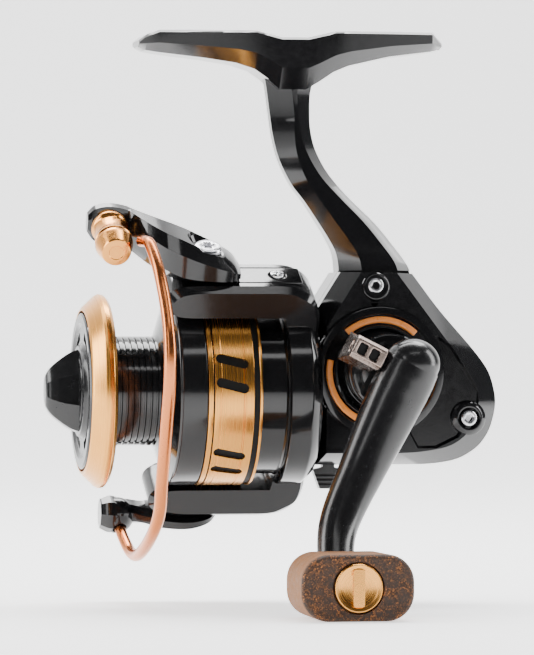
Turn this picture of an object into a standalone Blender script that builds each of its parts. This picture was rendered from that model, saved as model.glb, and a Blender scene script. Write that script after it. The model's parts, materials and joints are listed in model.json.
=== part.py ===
"""Small open-face spinning reel: an assembly of separate solids.

Every number below is in millimetres and is turned into metres when an object is made.
World axes: +Z up towards the rod, -X is where the spool and its drag knob face, -Y is the handle's side.
Origin: centre of the foot's length, at the height of the two flat seats on the foot's top.
The rotor and all it carries are modelled upright about the spool's axis and turned together by ROTOR_REST_DEG.
"""
import math

import bmesh
import bpy
from mathutils import Matrix, Vector

# ---------------------------------------------------------------- driving dimensions, mm
GAP = 0.3                       # running gap between neighbouring solids
SPOOL_Z = -71.6                 # spool axis, along X
CRANK_X, CRANK_Z = 16.3, -67.7  # handle axis, along Y
ROTOR_REST_DEG = 28.0           # how far the rotor has turned at rest
FOOT_FRONT, FOOT_REAR = -31.0, 30.3
SPLIT_Y = -2.0                  # where the body half ends and the side cover begins
BODY_FAR_Y, COVER_FACE_Y = 10.5, -10.5
LIP_R, SKIRT_R, ARBOR_R = 19.3, 18.75, 10.9
ROTOR_CUP_R, ROTOR_TUBE_R = 18.6, 16.5
ARM_IN, ARM_OUT, ARM_HALF = 19.5, 26.0, 6.0
BAIL_X = -19.0                  # bail's pivot axis crosses the spool axis here
WIRE_R = 1.12
DRIVE_TEETH, PINION_TEETH = 52, 10
OSC_SMALL_TEETH, OSC_BIG_TEETH = 13, 19
OSC_X = 26.5
OSC_ECCENTRIC = 2.5             # half the spool's stroke
CRANK_LEAN_DEG = 19.5           # from straight down towards the front, knob axis about handle axis
CRANK_LENGTH = 42.6
ARM_LEAN_DEG = 27.0             # lean of the arm's own centre line
KNUCKLE_Y = -30.4               # folding pin's height on the handle axis
MM = 0.001

for old in list(bpy.data.objects):
    bpy.data.objects.remove(old)


# ---------------------------------------------------------------- materials
def material(name, colour, rough, metal=0.0):
    made = bpy.data.materials.new(name)
    made.use_nodes = True
    shader = made.node_tree.nodes["Principled BSDF"]
    shader.inputs["Base Color"].default_value = (*colour, 1.0)
    shader.inputs["Roughness"].default_value = rough
    shader.inputs["Metallic"].default_value = metal
    return made


LOOKS = {
    "gloss_black": ((0.012, 0.012, 0.014), 0.12, 0.0),
    "satin_black": ((0.03, 0.03, 0.033), 0.35, 0.0),
    "gold": ((0.85, 0.58, 0.28), 0.25, 1.0),
    "copper_wire": ((0.85, 0.52, 0.33), 0.25, 1.0),
    "orange_inlay": ((0.85, 0.45, 0.16), 0.35, 0.0),
    "steel": ((0.72, 0.72, 0.74), 0.25, 1.0),
    "brass": ((0.80, 0.62, 0.30), 0.35, 1.0),
    "zinc": ((0.55, 0.56, 0.58), 0.4, 1.0),
    "knuckle_metal": ((0.42, 0.38, 0.34), 0.3, 1.0),
    "cork": ((0.22, 0.12, 0.06), 0.85, 0.0),
    "felt": ((0.75, 0.72, 0.62), 0.95, 0.0),
    "white_nylon": ((0.85, 0.85, 0.82), 0.5, 0.0),
}


# ---------------------------------------------------------------- making objects
def empty_at(name, place, rotation_x=0.0):
    made = bpy.data.objects.new(name, None)
    bpy.context.scene.collection.objects.link(made)
    made.location = Vector(place) * MM
    made.rotation_euler = (rotation_x, 0.0, 0.0)
    return made


def place_mesh(name, bm, origin, parent):
    """The object's mesh is stored about `origin`, both in the parent's millimetres."""
    bmesh.ops.remove_doubles(bm, verts=bm.verts, dist=1e-4)
    bmesh.ops.recalc_face_normals(bm, faces=bm.faces)
    bmesh.ops.translate(bm, verts=bm.verts, vec=-Vector(origin))
    bmesh.ops.scale(bm, verts=bm.verts, vec=(MM, MM, MM))
    mesh = bpy.data.meshes.new(name)
    bm.to_mesh(mesh)
    bm.free()
    made = bpy.data.objects.new(name, mesh)
    bpy.context.scene.collection.objects.link(made)
    made.location = Vector(origin) * MM
    if parent is not None:
        made.parent = parent
    return made


def part(name, look, bm, origin=(0, 0, 0), parent=None, sharp=35):
    made = place_mesh(name, bm, origin, parent)
    made.data.materials.append(material(name, *LOOKS[look]))
    made.data.shade_smooth()
    made.data.set_sharp_from_angle(angle=math.radians(sharp))
    return made


def combine(made, bm, operation):
    """A Boolean modifier whose operand is a hidden wire object in the same parent space."""
    operand = place_mesh(made.name + "_tool", bm, (0, 0, 0), made.parent)
    operand.hide_render = True
    operand.display_type = "WIRE"
    step = made.modifiers.new(operation.lower(), "BOOLEAN")
    step.operation = operation
    step.object = operand
    step.solver = "EXACT"


def cut(made, *meshes):
    for bm in meshes:
        combine(made, bm, "DIFFERENCE")


def join(made, *meshes):
    for bm in meshes:
        combine(made, bm, "UNION")


# ---------------------------------------------------------------- shapes
AXES = {"X": ((1, 0, 0), (0, 0, 1)), "Y": ((0, 1, 0), (0, 0, 1)), "Z": ((0, 0, 1), (1, 0, 0))}


def turned(profile, axis="X", centre=(0, 0, 0), steps=24, angle=360.0, start=0.0):
    """Spins (distance along, radius) points about an axis. A profile that starts and ends at radius 0 is solid,
    any other is a closed ring section. Less than a full turn gives a capped sector."""
    along, out = (Vector(v) for v in AXES[axis])
    out = Matrix.Rotation(math.radians(start), 3, along) @ out
    bm = bmesh.new()
    verts = [bm.verts.new(along * a + out * r) for a, r in profile]
    solid = profile[0][1] == 0 and profile[-1][1] == 0
    pairs = list(zip(verts, verts[1:])) + ([] if solid else [(verts[-1], verts[0])])
    edges = [bm.edges.new(p) for p in pairs]
    geometry = verts + edges
    if angle < 360.0:
        geometry = geometry + [bm.faces.new(verts)]
    bmesh.ops.spin(bm, geom=geometry, cent=(0, 0, 0), axis=along, angle=math.radians(angle),
                   steps=steps, use_merge=angle >= 360.0)
    bmesh.ops.remove_doubles(bm, verts=bm.verts, dist=1e-4)
    bmesh.ops.translate(bm, verts=bm.verts, vec=centre)
    return bm


def ring(a0, a1, r0, r1, axis="X", centre=(0, 0, 0), steps=20):
    return turned([(a0, r0), (a0, r1), (a1, r1), (a1, r0)], axis, centre, steps)


def rod(a0, a1, r, axis="X", centre=(0, 0, 0), steps=16, chamfer=0.0):
    c = chamfer
    if c:
        return turned([(a0, 0), (a0, r - c), (a0 + c, r), (a1 - c, r), (a1, r - c), (a1, 0)], axis, centre, steps)
    return turned([(a0, 0), (a0, r), (a1, r), (a1, 0)], axis, centre, steps)


def lofted(loops):
    """Skins closed loops of the same length and caps both ends."""
    bm = bmesh.new()
    rows = [[bm.verts.new(p) for p in loop] for loop in loops]
    n = len(rows[0])
    for one, two in zip(rows, rows[1:]):
        for i in range(n):
            bm.faces.new((one[i], one[(i + 1) % n], two[(i + 1) % n], two[i]))
    bm.faces.new(rows[0])
    bm.faces.new(rows[-1])
    return bm


def inset(points, distance):
    """An outline moved inwards by `distance` on every side, or by one distance for each side."""
    distances = distance if isinstance(distance, list) else [distance] * len(points)
    centre = Vector((sum(p[0] for p in points), sum(p[1] for p in points))) / len(points)
    lines = []
    for a, b, d in zip(points, points[1:] + points[:1], distances):
        a, b = Vector(a), Vector(b)
        normal = Vector((-(b - a).y, (b - a).x)).normalized()
        if normal.dot(centre - a) < 0:
            normal = -normal
        lines.append((a + normal * d, (b - a).normalized()))
    made = []
    for (p, d), (q, e) in zip(lines[-1:] + lines[:-1], lines):
        cross = d.x * e.y - d.y * e.x
        t = ((q - p).x * e.y - (q - p).y * e.x) / cross
        made.append(tuple(p + d * t))
    return made


def slab(outline, steps):
    """An XZ outline at each (y, inset) step, skinned along Y."""
    return lofted([[(x, y, z) for x, z in (inset(outline, d) if d else outline)] for y, d in steps])


def block(x0, x1, y0, y1, z0, z1):
    return lofted([[(x, y0, z0), (x, y1, z0), (x, y1, z1), (x, y0, z1)] for x in (x0, x1)])


def octagon(x, y0, y1, z0, z1, c):
    """A chamfered rectangle in the YZ plane at x."""
    cy, cz = c * (y1 - y0), c * (z1 - z0)
    return [(x, y0 + cy, z0), (x, y1 - cy, z0), (x, y1, z0 + cz), (x, y1, z1 - cz),
            (x, y1 - cy, z1), (x, y0 + cy, z1), (x, y0, z1 - cz), (x, y0, z0 + cz)]


def smooth_path(points, per_span):
    """A Catmull-Rom curve through the points, read `per_span` times between each two."""
    pts = [Vector(p) for p in points]
    pts = [pts[0] * 2 - pts[1]] + pts + [pts[-1] * 2 - pts[-2]]
    out = []
    for i in range(1, len(pts) - 2):
        a, b, c, d = pts[i - 1:i + 3]
        for k in range(per_span):
            t = k / per_span
            out.append(0.5 * (2 * b + (c - a) * t + (2 * a - 5 * b + 4 * c - d) * t * t
                              + (3 * b - a - 3 * c + d) * t ** 3))
    return out + [pts[-2]]


def tube(points, radii, sides=8, squash=1.0, flat_axis=None):
    """A closed tube along points. `squash` thins it along flat_axis."""
    pts = [Vector(p) for p in points]
    loops, side = [], None
    for i, p in enumerate(pts):
        along = (pts[min(i + 1, len(pts) - 1)] - pts[max(i - 1, 0)]).normalized()
        if flat_axis is not None:
            side = Vector(flat_axis)
        elif side is None:
            side = along.orthogonal()
        side = (side - along * side.dot(along)).normalized()
        other = along.cross(side)
        r = radii[i] if isinstance(radii, (list, tuple)) else radii
        loops.append([p + side * (math.cos(2 * math.pi * (k + 0.5) / sides) * r * squash)
                      + other * (math.sin(2 * math.pi * (k + 0.5) / sides) * r) for k in range(sides)])
    return lofted(loops)


def spur(teeth, root, tip, a0, a1, axis="Y", centre=(0, 0, 0), first=0.0, root_share=0.42, tip_share=0.2):
    """A straight-toothed gear; tooth 0's middle is `first` degrees round from +Z."""
    along, out = (Vector(v) for v in AXES[axis])
    pitch = 360.0 / teeth
    loops = []
    for a in (a0, a1):
        loop = []
        for i in range(teeth):
            for share, r in ((-root_share, root), (-tip_share, tip), (tip_share, tip), (root_share, root)):
                turn = Matrix.Rotation(math.radians(first + pitch * (i + share / 2)), 3, along)
                loop.append(Vector(centre) + along * a + turn @ out * r)
        loops.append(loop)
    return lofted(loops)


def screw_head(a_face, r, depth, axis, centre, shank_r, shank_to, steps=16):
    """A socket-head screw along an axis: its head's face at a_face, its shank reaching shank_to."""
    s = 1 if shank_to > a_face else -1
    hole = r * 0.5
    return turned([(a_face + s * depth * 0.6, 0), (a_face + s * depth * 0.6, hole), (a_face, hole),
                   (a_face, r * 0.88), (a_face + s * r * 0.12, r), (a_face + s * depth, r),
                   (a_face + s * depth, shank_r), (shank_to, shank_r), (shank_to, 0)], axis, centre, steps)


rotor_axis = empty_at("rotor_axis", (0, 0, SPOOL_Z), math.radians(ROTOR_REST_DEG))
spool_axis = empty_at("spool_axis", (0, 0, SPOOL_Z))
crank_axis = empty_at("crank_axis", (CRANK_X, 0, CRANK_Z))

# ================================================================ reel body: foot, stem and gear case
FOOT = [  # x, top, underside, half width
    (FOOT_FRONT, -2.0, -3.2, 4.6), (-29.6, -0.9, -3.9, 5.8), (-27.2, 0.0, -4.3, 6.8), (-17.7, 0.0, -5.4, 7.9),
    (-11.6, 0.0, -6.3, 8.2), (-7.8, 0.0, -7.5, 8.3), (-5.3, -0.65, -9.2, 8.3), (-2.8, -1.3, -11.5, 8.3), (2.6, -1.3, -11.5, 8.3),
    (5.2, -0.7, -10.0, 8.3), (8.2, 0.0, -8.0, 8.3), (11.3, 0.0, -6.7, 8.2), (19.5, 0.0, -4.8, 7.9), (28.0, 0.0, -3.7, 6.6),
    (FOOT_REAR, -2.0, -3.2, 4.6)]


def foot_loop(x, top, under, half):
    deep = top - under
    return [(x, -half + 0.7, top), (x, half - 0.7, top), (x, half, top - 0.5), (x, half * 0.97, top - deep * 0.6),
            (x, half * 0.55, under), (x, -half * 0.55, under), (x, -half * 0.97, top - deep * 0.6), (x, -half, top - 0.5)]


STEM = [  # front x, z; rear x, z; half thickness; where the side panel starts and ends
    (-5.6, -7.6, 7.0, -7.6, 5.0, 0.40, 0.62), (-4.9, -10.8, 4.3, -10.8, 4.4, 0.50, 0.64), (-4.2, -16.0, 3.9, -16.6, 4.1, 0.56, 0.66),
    (-3.5, -20.7, 4.3, -20.7, 4.2, 0.50, 0.68), (-2.2, -25.5, 5.4, -24.2, 4.4, 0.42, 0.70), (0.2, -30.3, 7.8, -28.4, 4.8, 0.34, 0.72),
    (2.7, -33.6, 11.8, -33.0, 5.4, 0.28, 0.74), (5.3, -37.5, 16.9, -37.9, 6.2, 0.24, 0.74), (7.5, -41.0, 20.7, -42.5, 7.2, 0.24, 0.74),
    (9.1, -44.3, 23.6, -46.5, 8.4, 0.24, 0.74), (9.6, -48.5, 24.6, -49.6, 9.2, 0.24, 0.74), (9.6, -53.0, 25.5, -53.0, 9.6, 0.24, 0.74)]


def stem_loop(fx, fz, rx, rz, half, t1, t2):
    f, r = Vector((fx, 0, fz)), Vector((rx, 0, rz))
    row = []
    for t, y in ((0, 0.32), (t1, 1), (t2, 1), (1, 0.32), (1, -0.32), (t2, -1), (t1, -1), (0, -0.32)):
        p = f.lerp(r, t)
        row.append((p.x, y * half, p.z))
    return row


CASE = [(9.4, -47.9), (24.0, -48.2), (29.4, -55.4), (36.9, -63.8), (39.8, -67.8), (41.0, -72.3), (41.0, -75.2),
        (39.9, -79.4), (37.6, -82.8), (33.4, -85.4), (27.6, -86.3), (4.5, -86.3), (4.5, -55.6)]
CAVITY = [(6.2, -56.4), (25.2, -56.4), (35.6, -66.6), (36.4, -73.2), (33.9, -74.0), (32.4, -75.3), (31.9, -79.2),
          (29.0, -84.2), (6.2, -84.2)]


def cavity(y0, y1):
    return lofted([[(x, y, z) for x, z in CAVITY] for y in (y0, y1)])


SA = (0, 0, SPOOL_Z)
CA = (CRANK_X, 0, CRANK_Z)
body = part("reel_body", "gloss_black", slab(CASE, [(SPLIT_Y, 0), (7.0, 0), (BODY_FAR_Y, 3.4)]))
join(body,
     lofted([stem_loop(*s) for s in STEM]),
     lofted([foot_loop(*s) for s in FOOT]),
     # neck that the rotor turns round, and the flange behind the rotor
     turned([(-5.2, 10.0), (-5.2, 13.2), (-4.8, 13.6), (3.0, 13.6), (3.0, 6.7), (0.6, 6.7), (0.6, 10.0)], "X", SA, 32),
     block(2.0, 5.2, 0.5, 7.6, SPOOL_Z - 10.8, SPOOL_Z + 10.8),
     turned([(8.0, 0), (8.0, 8.2), (17.2, 7.8), (17.8, 7.2), (17.8, 0)], "Y", CA, 24))
cut(body,
    block(4.25, 44.0, -20.0, SPLIT_Y, -90.0, -47.6),   # the side cover's place, up to the parting line
    cavity(SPLIT_Y - 1.0, 8.7),
    turned([(-1.0, 0), (-1.0, 6.9), (4.4, 6.9), (4.4, 5.6), (9.0, 5.6), (9.0, 0)], "X", SA, 28),
    turned([(8.0, 0), (8.0, 6.3), (13.8, 6.3), (13.8, 3.2), (19.0, 3.2), (19.0, 0)], "Y", CA, 20),
    rod(SPLIT_Y - 1, 1.9, 1.3, "Y", (15.6, 0, -50.6), 10),
    rod(SPLIT_Y - 1, 1.9, 1.3, "Y", (34.5, 0, -77.0), 10),
    rod(34.0, 37.6, 1.1, "X", (0, 0, -68.1), 10),
    block(6.4, 10.0, 0.1, 6.0, -90.0, -83.0))

# ================================================================ side cover, its screws and trim
RING_FACE = -12.1
COVER_BEVEL = [0.0, 3.2, 3.6, 4.2, 4.6, 4.8, 4.6, 4.4, 3.8, 3.0, 2.4, 1.2, 2.8]   # one for each side of CASE, from its top
cover = part("side_cover", "gloss_black",
             slab(CASE, [(SPLIT_Y - GAP, 0), (-5.6, 0), (COVER_FACE_Y, COVER_BEVEL)]))
join(cover,
     turned([(-8.0, 0), (-8.0, 13.0), (RING_FACE + 0.5, 12.9), (RING_FACE, 12.4), (RING_FACE, 11.3),
             (RING_FACE + 1.3, 11.3), (RING_FACE + 1.3, 9.3), (RING_FACE, 9.3), (RING_FACE, 8.6), (RING_FACE + 0.6, 8.2),
             (-13.0, 7.9), (-21.2, 7.6), (-21.9, 6.9), (-21.9, 0)], "Y", CA, 32),
     rod(-11.4, -6.0, 4.0, "Y", (34.5, 0, -77.0), 16, 0.8),
     rod(-10.9, -6.0, 2.85, "Y", (15.6, 0, -50.9), 16, 0.5))
cut(cover,
    cavity(-7.5, SPLIT_Y + 1.0),
    turned([(-7.0, 0), (-7.0, 6.3), (-20.9, 6.3), (-20.9, 3.2), (-23.0, 3.2), (-23.0, 0)], "Y", CA, 20),
    rod(3.0, 9.0, 5.9, "X", SA, 20),
    rod(-13.0, -9.6, 2.1, "Y", (15.6, 0, -50.6), 14), rod(-12.0, 0.0, 1.3, "Y", (15.6, 0, -50.6), 10),
    rod(-13.0, -10.0, 2.1, "Y", (34.5, 0, -77.0), 14), rod(-12.0, 0.0, 1.3, "Y", (34.5, 0, -77.0), 10),
    rod(-13.0, -9.6, 1.3, "Y", (15.4, 0, -54.0), 10))
part("cover_screw_top", "steel", screw_head(-10.9, 1.6, 1.0, "Y", (15.6, 0, -50.6), 0.95, 1.4), (15.6, -10.9, -50.6))
part("cover_screw_rear", "steel", screw_head(-11.2, 1.6, 0.9, "Y", (34.5, 0, -77.0), 0.95, 1.4), (34.5, -11.2, -77.0))
part("oil_port_plug", "steel", rod(-10.4, -9.9, 1.0, "Y", (15.4, 0, -54.0), 12, 0.15), (15.4, -10.2, -54.0))
for letter, middle in (("a", 89.0), ("b", 209.0), ("c", 329.0)):
    # an 84 degree arc; counting round from +Z about +Y, the middle lies at middle - 90
    part("ring_inlay_" + letter, "orange_inlay",
         turned([(RING_FACE + 0.05, 9.65), (RING_FACE + 0.05, 10.95), (RING_FACE + 1.0, 10.95), (RING_FACE + 1.0, 9.65)],
                "Y", CA, 14, 84.0, 90.0 - middle - 42.0), CA)

# ================================================================ bearings, clutch and guides held by the case
part("drive_bearing_near", "steel", ring(-20.6, -17.6, 3.0, 6.0, "Y", CA), CA)
part("drive_bearing_far", "steel", ring(10.2, 13.4, 3.0, 6.0, "Y", CA), CA)
part("pinion_bearing", "steel", ring(0.9, 4.0, 2.9, 6.6, "X", SA), SA)
part("anti_reverse_clutch", "steel",
     turned([(-4.7, 4.6), (-4.7, 9.2), (-4.2, 9.7), (0.3, 9.7), (0.3, 4.6)], "X", SA, 24), SA)
part("slider_guide_rod", "steel", rod(19.6, 37.3, 0.8, "X", (0, 0, -68.1), 10), (0, 0, -68.1))
part("oscillation_axle", "steel", rod(3.9, 8.4, 1.3, "Y", (OSC_X, 0, SPOOL_Z), 12), (OSC_X, 0, SPOOL_Z))

# ================================================================ anti-reverse lever under the case
LEVER_Y, LEVER_Z = 2.0, -82.2
TAB = [(7.0, -80.6), (9.4, -80.6), (9.4, -86.7), (11.4, -87.1), (9.2, -91.3), (6.4, -91.3), (5.0, -87.1), (7.0, -86.7)]
part("anti_reverse_lever", "satin_black", lofted([[(x, y, z) for x, z in TAB] for y in (LEVER_Y - 1.3, LEVER_Y + 1.3)]),
     (8.2, LEVER_Y, LEVER_Z))

# ================================================================ drive gear, shaft, knuckle (turn with the handle)
FACE_Y = -3.7


def face_gear():
    """A disc whose face towards +Y carries radial teeth."""
    bm = bmesh.new()
    count = DRIVE_TEETH * 2
    rows = []
    for i in range(count):
        a = 2 * math.pi * i / count
        top = FACE_Y if i % 2 else FACE_Y - 0.7
        row = [(-7.2, 2.9), (-7.2, 9.5), (top, 9.9), (top, 6.6), (FACE_Y - 1.2, 2.9)]
        rows.append([bm.verts.new((CRANK_X + r * math.sin(a), y, CRANK_Z + r * math.cos(a))) for y, r in row])
    for one, two in zip(rows, rows[1:] + rows[:1]):
        n = len(one)
        for k in range(n):
            bm.faces.new((one[k], one[(k + 1) % n], two[(k + 1) % n], two[k]))
    return bm


part("drive_gear", "zinc", face_gear(), CA)
part("drive_shaft", "steel",
     turned([(-22.9, 0), (-22.9, 2.3), (-22.6, 2.6), (-3.4, 2.6), (-3.0, 2.1), (3.0, 2.1), (3.5, 2.6), (17.0, 2.6), (17.0, 0)],
            "Y", CA, 16), CA)
line = math.degrees(math.atan2(OSC_X - CRANK_X, SPOOL_Z - CRANK_Z))  # from +Z about +Y to the other gear's centre
centres = math.hypot(OSC_X - CRANK_X, SPOOL_Z - CRANK_Z)
module = 2 * centres / (OSC_SMALL_TEETH + OSC_BIG_TEETH)
small_r, big_r = module * OSC_SMALL_TEETH / 2, module * OSC_BIG_TEETH / 2
small = part("oscillation_pinion", "brass",
             spur(OSC_SMALL_TEETH, small_r - 0.62, small_r + 0.32, 4.6, 6.6, "Y", CA, line), CA)
cut(small, rod(4.0, 8.0, 2.9, "Y", CA, 16))
gear = part("oscillation_gear", "white_nylon",
            spur(OSC_BIG_TEETH, big_r - 0.62, big_r + 0.32, 4.6, 6.6, "Y", (OSC_X, 0, SPOOL_Z),
                 line + 180.0 + 180.0 / OSC_BIG_TEETH), (OSC_X, 0, SPOOL_Z))
join(gear, rod(3.6, 5.0, 0.8, "Y", (OSC_X - OSC_ECCENTRIC, 0, SPOOL_Z), 8))
cut(gear, rod(4.2, 8.0, 1.6, "Y", (OSC_X, 0, SPOOL_Z), 12))

# handle knuckle: a flange on the shaft and the pin's lug on its front side
lean = math.radians(ARM_LEAN_DEG)
DOWN = Vector((-math.sin(lean), 0, -math.cos(lean)))     # along the arm
PIN = Vector((math.cos(lean), 0, -math.sin(lean)))       # along the folding pin
HUB = Vector((CRANK_X, KNUCKLE_Y, CRANK_Z)) - DOWN * 0.5
PIN_R = 1.0


def ball(centre, radii, around=16, rings=10):
    """An ellipsoid with its poles along Z."""
    rows = []
    for j in range(1, rings):
        t = math.pi * j / rings
        rows.append([Vector(centre) + Vector((radii[0] * math.sin(t) * math.cos(2 * math.pi * k / around),
                                              radii[1] * math.sin(t) * math.sin(2 * math.pi * k / around),
                                              radii[2] * math.cos(t))) for k in range(around)])
    bm = lofted(rows)
    for face in [f for f in bm.faces if len(f.verts) == around]:
        z = face.verts[0].co.z
        tip = Vector(centre) + Vector((0, 0, radii[2] if z > centre[2] else -radii[2]))
        bmesh.ops.poke(bm, faces=[face])
        min((v for v in bm.verts), key=lambda v: (v.co - Vector((centre[0], centre[1], z))).length).co = tip
    return bm


def along_pin(w0, w1, shape):
    """A prism along the folding pin; shape lists (down the arm, y) points about the pin."""
    return lofted([[HUB + PIN * w + DOWN * d + Vector((0, y, 0)) for d, y in shape] for w in (w0, w1)])


def pin_ring(w0, w1, r, steps=12, centre=None):
    at = HUB if centre is None else centre
    return lofted([[at + PIN * w + DOWN * (math.cos(2 * math.pi * k / steps) * r)
                    + Vector((0, math.sin(2 * math.pi * k / steps) * r, 0)) for k in range(steps)] for w in (w0, w1)])


LUG = [(-3.0, 8.2), (3.0, 8.2), (2.3, 3.2), (2.3, -2.2), (1.6, -3.2), (-1.6, -3.2), (-2.3, -2.2), (-2.3, 3.2)]
knuckle = part("handle_knuckle", "knuckle_metal",
               turned([(-25.0, 0), (-25.0, 5.6), (-24.4, 6.2), (-22.6, 6.2), (-22.2, 5.8), (-22.2, 0)], "Y", CA, 20), CA)
join(knuckle, along_pin(-10.8, -4.2, LUG))
cut(knuckle, pin_ring(-12.0, 4.0, PIN_R + 0.3), along_pin(-4.2, 9.0, [(-9.0, -4.0), (9.0, -4.0), (9.0, 7.5), (-9.0, 7.5)]), turned([(-26.0, 0), (-26.0, 2.9), (-20.0, 2.9), (-20.0, 0)], "Y", CA, 16),
    along_pin(-9.9, -8.2, [(-1.1, -2.2), (1.1, -2.2), (1.1, -5.0), (-1.1, -5.0)]),
    along_pin(-7.3, -5.6, [(-1.1, -2.2), (1.1, -2.2), (1.1, -5.0), (-1.1, -5.0)]))
part("handle_screw_cap", "satin_black",
     turned([(18.1, 0), (18.1, 5.6), (18.7, 6.3), (24.2, 6.3), (25.2, 5.2), (25.2, 0)], "Y", CA, 24), CA)
part("folding_pin", "steel", pin_ring(-10.4, 4.1, PIN_R), HUB)

# ================================================================ handle arm and knob
sway = math.radians(CRANK_LEAN_DEG)
KNOB_X = CRANK_X - CRANK_LENGTH * math.sin(sway)
KNOB_Z = CRANK_Z - CRANK_LENGTH * math.cos(sway)
HEAD = HUB + PIN * 1.5 - DOWN * 2.1
arm_points = smooth_path([HEAD, HEAD + DOWN * 9.0 + Vector((0, -0.4, 0)), HEAD + DOWN * 22.0 + Vector((0.0, -2.4, 0)),
                          HEAD + DOWN * 34.5 + Vector((0.0, -6.2, 0)), Vector((KNOB_X - 0.6, -41.0, KNOB_Z + 2.6))], 3)
arm_radii = [4.75, 4.95, 4.95, 4.8, 4.55, 4.25, 3.95, 3.7, 3.5, 3.3, 3.15, 3.05, 2.95]
arm = part("handle_arm", "satin_black", tube(arm_points, arm_radii, 12, 1.18, PIN), HUB)
join(arm, ball(HEAD, (5.5, 4.85, 4.95), 16, 10),
     rod(-43.6, -38.0, 4.1, "Y", (KNOB_X, 0, KNOB_Z), 16, 0.6))
cut(arm, pin_ring(-6.0, 4.4, PIN_R + 0.3), along_pin(-8.0, -3.9, [(-9.0, -7.0), (9.4, -7.0), (9.4, 7.0), (-9.0, 7.0)]), rod(-46.0, -40.2, 1.9, "Y", (KNOB_X, 0, KNOB_Z), 12))
KA = (KNOB_X, 0, KNOB_Z)
part("knob_spindle", "steel", rod(-60.4, -40.6, 1.6, "Y", KA, 14), KA)
KNOB_HX, KNOB_HZ = 10.8, 6.3


def knob_loop(y, grow):
    hx, hz = KNOB_HX - grow, KNOB_HZ - grow
    c = hz * 0.68
    return [(KNOB_X + x, y, KNOB_Z + z) for x, z in (
        (-hx + c, -hz), (hx - c, -hz), (hx - c * 0.32, -hz + c * 0.42), (hx, -hz + c), (hx, hz - c), (hx - c * 0.32, hz - c * 0.42),
        (hx - c, hz), (-hx + c, hz), (-hx + c * 0.32, hz - c * 0.42), (-hx, hz - c), (-hx, -hz + c), (-hx + c * 0.32, -hz + c * 0.42))]


knob = part("handle_knob", "cork", lofted([knob_loop(-44.0, 1.0), knob_loop(-44.8, 0.2), knob_loop(-53.0, 0.1),
                                           knob_loop(-61.2, 0.0), knob_loop(-62.0, 0.7)]), KA)
cut(knob, turned([(-43.0, 0), (-43.0, 2.9), (-60.0, 2.9), (-60.0, 4.9), (-63.0, 4.9), (-63.0, 0)], "Y", KA, 20))
part("knob_bush", "brass", ring(-59.0, -44.6, 1.9, 2.6, "Y", KA, 14), KA)
knob_cap = part("knob_cap", "gold", turned([(-60.7, 0), (-60.7, 4.3), (-62.3, 4.6), (-62.5, 4.2), (-62.0, 3.0), (-61.8, 0)], "Y", KA, 24), KA)
join(knob_cap, block(KNOB_X - 1.1, KNOB_X + 1.1, -62.5, -61.2, KNOB_Z - 3.3, KNOB_Z + 3.3))

# ================================================================ pinion, clutch sleeve and rotor (rotor-local space)
RA = (0, 0, 0)
pinion = part("pinion_gear", "brass", spur(PINION_TEETH, 2.55, 3.25, 6.9, 12.4, "X", RA, 0.0, 0.7, 0.3), RA, rotor_axis)
join(pinion, turned([(-12.2, 0), (-12.2, 2.3), (-11.9, 2.6), (7.2, 2.6), (7.2, 0)], "X", RA, 16))
cut(pinion, rod(-14.0, 14.0, 1.8, "X", RA, 14))
part("clutch_sleeve", "steel", ring(-4.8, 0.5, 2.9, 4.2, "X", RA, 16), RA, rotor_axis)
rotor = part("rotor", "gloss_black", turned([
    (-9.6, 2.9), (-9.6, 6.0), (-8.3, 6.6), (-8.3, 15.2), (-15.6, 15.2), (-15.6, ROTOR_TUBE_R), (-3.2, ROTOR_TUBE_R),
    (-3.0, ROTOR_CUP_R - 0.4), (-2.6, ROTOR_CUP_R), (1.4, ROTOR_CUP_R), (3.0, 17.6), (3.8, 16.6), (3.8, 15.5), (2.7, 14.7), (-5.5, 14.7), (-5.5, 2.9)],
    "X", RA, 28), RA, rotor_axis)
ARM_SIDE = [(3.8, 16.0), (3.8, 19.4), (3.0, 22.4), (1.0, 24.6), (-2.4, ARM_OUT), (-22.6, ARM_OUT), (-25.8, 25.3), (-27.6, 23.4),
            (-27.6, 21.4), (-26.4, 19.9), (-24.0, ARM_IN), (-3.2, ARM_IN), (-2.8, 17.6), (-2.4, 15.6)]
for s in (1, -1):
    loops = []
    for y, squeeze in ((-ARM_HALF, 1.3), (-ARM_HALF + 1.3, 0.0), (ARM_HALF - 1.3, 0.0), (ARM_HALF, 1.3)):
        row = []
        for x, u in ARM_SIDE:
            if u > 15 and squeeze:
                u = u - squeeze * 0.8 if u > 22.4 else u
                x = x + squeeze if x < -20 else (x - squeeze * 0.6 if x > 0 else x)
            row.append((x, y, u * s))
        loops.append(row)
    join(rotor, lofted(loops))
    # pocket for the bail spring and the seat of the arm's cover
    low, high = sorted((24.6 * s, 27.5 * s))
    cut(rotor, block(-13.0, 0.4, -3.4, 3.4, low, high),
        rod(min(21.2 * s, 27.5 * s), max(21.2 * s, 27.5 * s), 1.8, "Z", (BAIL_X, 0, 0), 14))
cut(rotor, block(-11.6, -1.0, -2.6, 2.6, 21.0, 25.5))
for s, word in ((1, "upper"), (-1, "lower")):
    plate = part("arm_cover_" + word, "gloss_black",
                 lofted([[(x, y, z * s) for x, y in ((-12.7, -3.1), (-12.7, 3.1), (0.1, 3.1), (0.1, -3.1))] for z in (24.9, 25.9)]),
                 (-6.0, 0, 25.4 * s), rotor_axis)
    if s > 0:
        cut(plate, rod(23.0, 28.0, 0.95, "Z", (-4.6, 0, 0), 10))
part("arm_cover_screw", "steel", turned([(24.5, 0), (24.5, 0.6), (25.98, 0.65), (26.2, 1.5), (26.7, 1.2), (26.8, 0)], "Z", (-4.6, 0, 0), 12),
     (-4.6, 0, 26.2), rotor_axis)
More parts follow.
